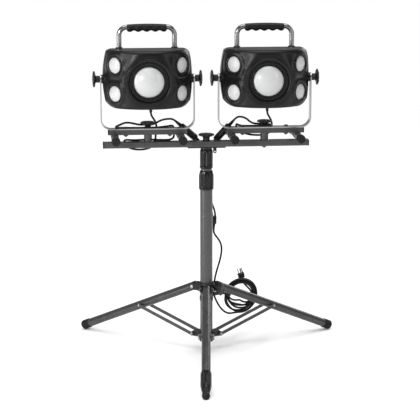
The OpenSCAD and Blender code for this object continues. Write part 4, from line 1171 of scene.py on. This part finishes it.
def make_head_back(side, here, part):
    """Screws, gland, tilt bosses and switch of a head."""
    places = [at(x, BACK_Y, z) @ Y_UP
              for x, z in ((-94, 50), (94, 50), (-94, -40), (94, -40), (-45, -52), (45, -52))]
    screw = moved(screw_head(3.9, 1.4), at(0, 0, -0.5))
    well = washer([(4.6, -1), (6.8, -1), (6.8, 0.5), (6.2, 1.1), (5.0, 1.1), (4.6, 0.6)], 40)
    part("back_screws", copies(screw, places), ZINC, slot=None)
    part("screw_wells", copies(well, places), SHELL, slot=None)

    gland = at(GLAND[0], GLAND[1], HEAD_LOW) @ turn(180, "X")
    nut = lathe([(8.2, -1), (9.2, -0.4), (9.2, 4.2), (8.4, 5.0)], 6)
    sleeve = lathe([(7.2, 4.8), (7.4, 5.2), (7.2, 7.0), (5.6, 8.0),
                    *ridged(5.2, 3.2, 8.2, 21.6, 5)], 48)
    part("gland_nut", nut, KNOB, here @ gland, None)
    part("strain_relief", sleeve, RUBBER, here @ gland, None)

    boss = lathe([(14.5, 108), (14.5, 115.5), (13.0, 117.5), (12, 118.4), (12, 120), (11.4, 120.4),
                  (11.4, 121.6), (12, 122), (12, 123.8), (11.2, 124.6), (4.2, 124.6)], 56)
    bosses = copies(boss, [turn(90 * sx, "Y") for sx in SIDES])
    part("tilt_bosses", bosses, SHELL, slot=None)

    hinge = here @ at(0, BACK_Y - 1, ROCKER_Z) @ turn(ROCKER_TIP, "X")
    rocker = [(-7.4, -3.6), (7.4, -3.6), (7.4, 2.6), (4.5, 2.9), (0, 1.7), (-4.5, 2.9),
              (-7.4, 2.6)]
    # The outline is drawn along the hinge's Y and Z, and its depth runs along X
    along_x = Matrix(((0, 1, 0, 0), (0, 0, 1, 0), (1, 0, 0, 0), (0, 0, 0, 1)))
    cap = moved(prism(rocker, -9.4, 9.4, 0.7), along_x)
    piece(side + "_rocker_cap", cap, KNOB, side + "_rocker", hinge, slot="knob_plastic",
          instead_of=(side + "_switch_rocker",))
    frame_bars = [rounded_box((24.5, 4.2, 2.2), (0, BACK_Y + 0.6, ROCKER_Z + dz), 0.8)
                  for dz in (-10.4, 10.4)]
    frame_bars += [rounded_box((2.0, 4.2, 23.0), (dx, BACK_Y + 0.6, ROCKER_Z), 0.8)
                   for dx in (-11.3, 11.3)]
    part("switch_frame", joined(*frame_bars), BEZEL, slot=None)
    # A thin near-black sheet behind the rocker: painted shade in the switch recess
    part("switch_well", rounded_box((20.4, 0.8, 18.6), (0, BACK_Y - 0.2, ROCKER_Z), 0.3),
         RECESS_SHADE, slot=None)


def make_handle(side, part):
    """Bent steel tube with a finger-grooved grip, in two sockets on top of the head."""
    top_x, leg_top = HANDLE_X - HANDLE_BEND, HANDLE_TOP - HANDLE_BEND
    path = [(-HANDLE_X, HANDLE_Y, z) for z in (70, 84, 98, 110, leg_top)]
    path += [(-top_x - HANDLE_BEND * math.cos(math.radians(a)), HANDLE_Y,
              leg_top + HANDLE_BEND * math.sin(math.radians(a))) for a in range(6, 90, 6)]
    path += [(x, HANDLE_Y, HANDLE_TOP) for x in np.linspace(-top_x, top_x, 12)]
    path += [(-x, y, z) for x, y, z in reversed(path[:-12])]
    part("carry_tube", sweep(path, HANDLE_R, 40), BRIGHT, slot="bright_steel",
         instead_of=(side + "_handle_tube",))

    rings = []
    half = GRIP_LEN / 2
    for x in np.linspace(-half, half, 109):
        ends = min(1.0, (half - abs(x)) / 2.5)
        roll = 0.82 + 0.18 * math.sqrt(max(0.0, 1 - (1 - ends) ** 2))
        arch = 7.5 + 1.95 * (1 - (x / half) ** 2)
        finger = 9.0 + 3.9 * (0.5 + 0.5 * math.cos(TAU * x / 23)) ** 0.8
        ring = []
        for k in range(48):
            a = TAU * k / 48
            below = (0.5 - 0.5 * math.cos(a)) ** 1.6
            r = ((1 - below) * arch + below * finger) * roll
            ring.append((x, HANDLE_Y + r * math.sin(a) * 0.97, HANDLE_TOP + r * math.cos(a)))
        rings.append(ring)
    first, last = [[(sx * half, HANDLE_Y + across, HANDLE_TOP + up)
                    for up, across in circle(6.9, 48)] for sx in SIDES]
    part("finger_grip", rings_shape([first, *rings, last]), GRIP, slot="grip_rubber",
         instead_of=(side + "_handle_grip",))
    ferrule = washer([(6.8, -2), (9.8, -2), (9.6, 1.4), (8.9, 2.4), (7.4, 2.8), (6.8, 2.4)], 48)
    ferrules = [at(sx * HANDLE_X, HANDLE_Y, HEAD_TOP) for sx in SIDES]
    part("handle_sockets", copies(ferrule, ferrules), SHELL, slot=None)


# ---------------------------------------------------------------- plug, splitter and ties
def make_splitter():
    here = at(*(SPLITTER / MM))
    block = rounded_box((15.2, 9.2, 20.5), (0, 0, 24), 2.4, 4)
    ribs = [rounded_box((16.0, 9.9, 1.6), (0, 0, z), 0.7) for z in (19, 23, 27)]
    exits = [moved(lathe([(4.4, -3), (4.3, 0), *ridged(4.1, 3.1, 0.5, 6.5, 2)], 32),
                   at(dx, 0, 34)) for dx in (-4, 4)]
    tail = lathe([*ridged(3.15, 5.2, 0, 14, 4), (5.0, 17)], 40)
    piece("cord_split_block", joined(block, tail, *ribs, *exits), MOULD, "middle", here,
          slot="plug_pvc", instead_of=("cord_splitter",))


def make_plug():
    here = at(*(PLUG_AT / MM)) @ turn(math.degrees(COIL_AZ), "Z") @ turn(-PLUG_LEAN, "Y")
    relief = lathe([*ridged(3.2, 6.2, 0, 8.5, 3), (5.8, 10)], 40)
    block = rounded_box((18, 13, 11.5), (0, 0, 13.2), 3.2, 4)
    plate = rounded_box((19, 14, 3.4), (0, 0, 20.2), 1.5, 3)
    ribs = [rounded_box((1.2, 13.6, 7), (x, 0, 13.0), 0.5) for x in (-6, -3, 0, 3, 6)]
    body = piece("mains_plug_body", joined(relief, block, plate, *ribs), MOULD, "mast", here,
                 slot="plug_pvc", instead_of=("power_plug",))
    blades = [rounded_box((1.6, 6.4, 16.5), (x, 0, 28.7), 0.5, 2) for x in (-6.3, 6.3)]
    ground = moved(lathe([(2.3, 21), (2.3, 36.6), (1.7, 38.2), (0.5, 39)], 24), at(0, -3.5, 0))
    pins = piece("mains_plug_pins", joined(*blades, ground), NICKEL, "mast", here)
    return body, pins


def belt(path, up, width, thick, closed):
    """A flat band along a path in millimetres, its width along up."""
    line = np.array(path, float)
    up = np.array(up, float) / np.linalg.norm(up)
    around = np.roll(line, -1, axis=0) - np.roll(line, 1, axis=0)
    tangents = around if closed else np.gradient(line, axis=0)
    tangents /= np.linalg.norm(tangents, axis=1)[:, None]
    r = thick / 2
    half = width / 2 - r
    section = [(r * math.cos(a), half + r * math.sin(a)) for a in np.linspace(0, math.pi, 6)]
    section += [(-r, 0.0)]
    section += [(r * math.cos(a), -half + r * math.sin(a))
                for a in np.linspace(math.pi, TAU, 6)] + [(r, 0.0)]
    rings = []
    for p, t in zip(line, tangents):
        out = np.cross(t, up)
        out /= np.linalg.norm(out)
        rings.append([tuple(p + out * a + up * b) for a, b in section])
    return rings_shape(rings, "joined" if closed else "fans")


def stadium(x0, x1, y, z, r, steps=14):
    """A closed level path round two points in a row, at distance r."""
    return [(x + r * math.cos(a), y + r * math.sin(a), z)
            for x, start in ((x1, -math.pi / 2), (x0, math.pi / 2))
            for a in np.linspace(start, start + math.pi, steps)]


# The coil's tie: the clock angle of the coil it holds, its height on the mast and its two loops
TIE_ANGLE = math.radians(163)
TIE_Z = 151.0
TIE_COIL_R = 9.9
TIE_MAST_R = 18.4


def make_ties():
    """Hook-and-loop ties that hold the coil to the mast and the branches to each other."""
    u = np.array((math.cos(COIL_AZ), math.sin(COIL_AZ), 0))
    w = np.array((0, 0, 1.0))
    across = np.array((-math.sin(COIL_AZ), math.cos(COIL_AZ), 0))
    outward = math.cos(TIE_ANGLE) * u + math.sin(TIE_ANGLE) * w
    along = -math.sin(TIE_ANGLE) * u + math.cos(TIE_ANGLE) * w
    spot = COIL_AT / MM + COIL_R / MM * outward
    ring = [spot + a * outward + b * across for a, b in circle(TIE_COIL_R, 40)]
    mast_ring = [(x, y, TIE_Z) for x, y in circle(TIE_MAST_R, 56)]
    start = np.array((-9.5, 16.6, TIE_Z))
    end = spot + TIE_COIL_R * across
    link = smooth_line(np.array([start, start + (10, 9.5, 0), (14, 42, 149), (36, 62, 147.2),
                                 end - (5, 3.5, 0), end + (6, 0, 0)]) * MM, 0.004) / MM
    buckle = moved(rounded_box((3.2, 12, 14), (19.6, 0, TIE_Z), 0.8), turn(128, "Z"))
    bands = [belt(ring, along, 13, 1.7, True), belt(mast_ring, w, 13, 1.7, True),
             belt(link, w, 12, 1.6, False), buckle]
    piece("coil_tie", joined(*bands), TIE, "mast")
    low, high = [z / MM for z in BRANCH_TIES]
    for name, body, x0, x1, y, z in (("lower_branch_tie", "inner", -7, 9, 31, low),
                                     ("upper_branch_tie", "crossbar", -4.8, 4.4, 31, high)):
        band = belt(stadium(x0, x1, y, z, 4.0), w, 7.5, 1.5, True)
        tag = rounded_box((5, 3, 7), ((x0 + x1) / 2, y + 5.0, z), 0.7)
        core = rounded_box((x1 - x0, 2.4, 6.5), ((x0 + x1) / 2, y, z), 0.8)
        piece(name, joined(band, tag, core), TIE, body)


make_mast()
make_hub()
make_legs()
make_feet()
make_collars()
make_knobs()
make_crossbar()
for side_name, side_sign in (("left", -1), ("right", 1)):
    make_stand(side_name, side_sign)
    make_connector(side_name, side_sign)
    make_head(side_name, side_sign)
make_splitter()
plug_body, plug_pins = make_plug()
make_ties()


# ---------------------------------------------------------------- studio
FLOOR_HALF = 40.0
FLOOR_Z = -0.0005      # just under the feet


def make_studio():
    """A pale floor, an even sky and a few soft lamps."""
    scene = bpy.context.scene
    scene.view_settings.view_transform = "Standard"
    world = bpy.data.worlds.new("studio")
    world.use_nodes = True
    fill(world, world.node_tree.nodes["Background"], {"Color": (1, 1, 1, 1), "Strength": 0.32})
    scene.world = world
    mesh = bpy.data.meshes.new("floor")
    corners = [(x * FLOOR_HALF, y * FLOOR_HALF, FLOOR_Z)
               for x, y in ((-1, -1), (1, -1), (1, 1), (-1, 1))]
    mesh.from_pydata(corners, [], [[0, 1, 2, 3]])
    floor = bpy.data.objects.new("floor", mesh)
    scene.collection.objects.link(floor)
    made, shader, _ = new_material("floor_paint")
    fill(made, shader, {"Base Color": (0.93, 0.93, 0.93, 1), "Roughness": 0.9,
                        "Specular IOR Level": 0.1})
    mesh.materials.append(made)

    def lamp(name, kind, strength, place, aim=(0, 0, 0.6), size=(1, 1), angle=0.0):
        data = bpy.data.lights.new(name, kind)
        data.energy = strength
        if kind == "AREA":
            data.shape = "RECTANGLE"
            data.size, data.size_y = size
        else:
            data.angle = math.radians(angle)
        light = bpy.data.objects.new(name, data)
        scene.collection.objects.link(light)
        light.location = place
        light.rotation_mode = "QUATERNION"
        light.rotation_quaternion = (Vector(aim) - Vector(place)).to_track_quat("-Z", "Y")

    lamp("sky_sun", "SUN", 2.45, (0, -0.4, 3), aim=(0, 0, 0), angle=60)
    lamp("key", "AREA", 30, (-1.75, -2.2, 1.45), size=(0.35, 0.45))
    lamp("fill", "AREA", 12, (2.3, -1.9, 1.5), size=(0.5, 1.8))
    lamp("strip", "AREA", 34, (-2.6, -1.2, 1.0), size=(0.3, 2.0))
    lamp("rim", "AREA", 20, (1.7, 2.0, 1.6), size=(1.2, 1.4))


make_studio()
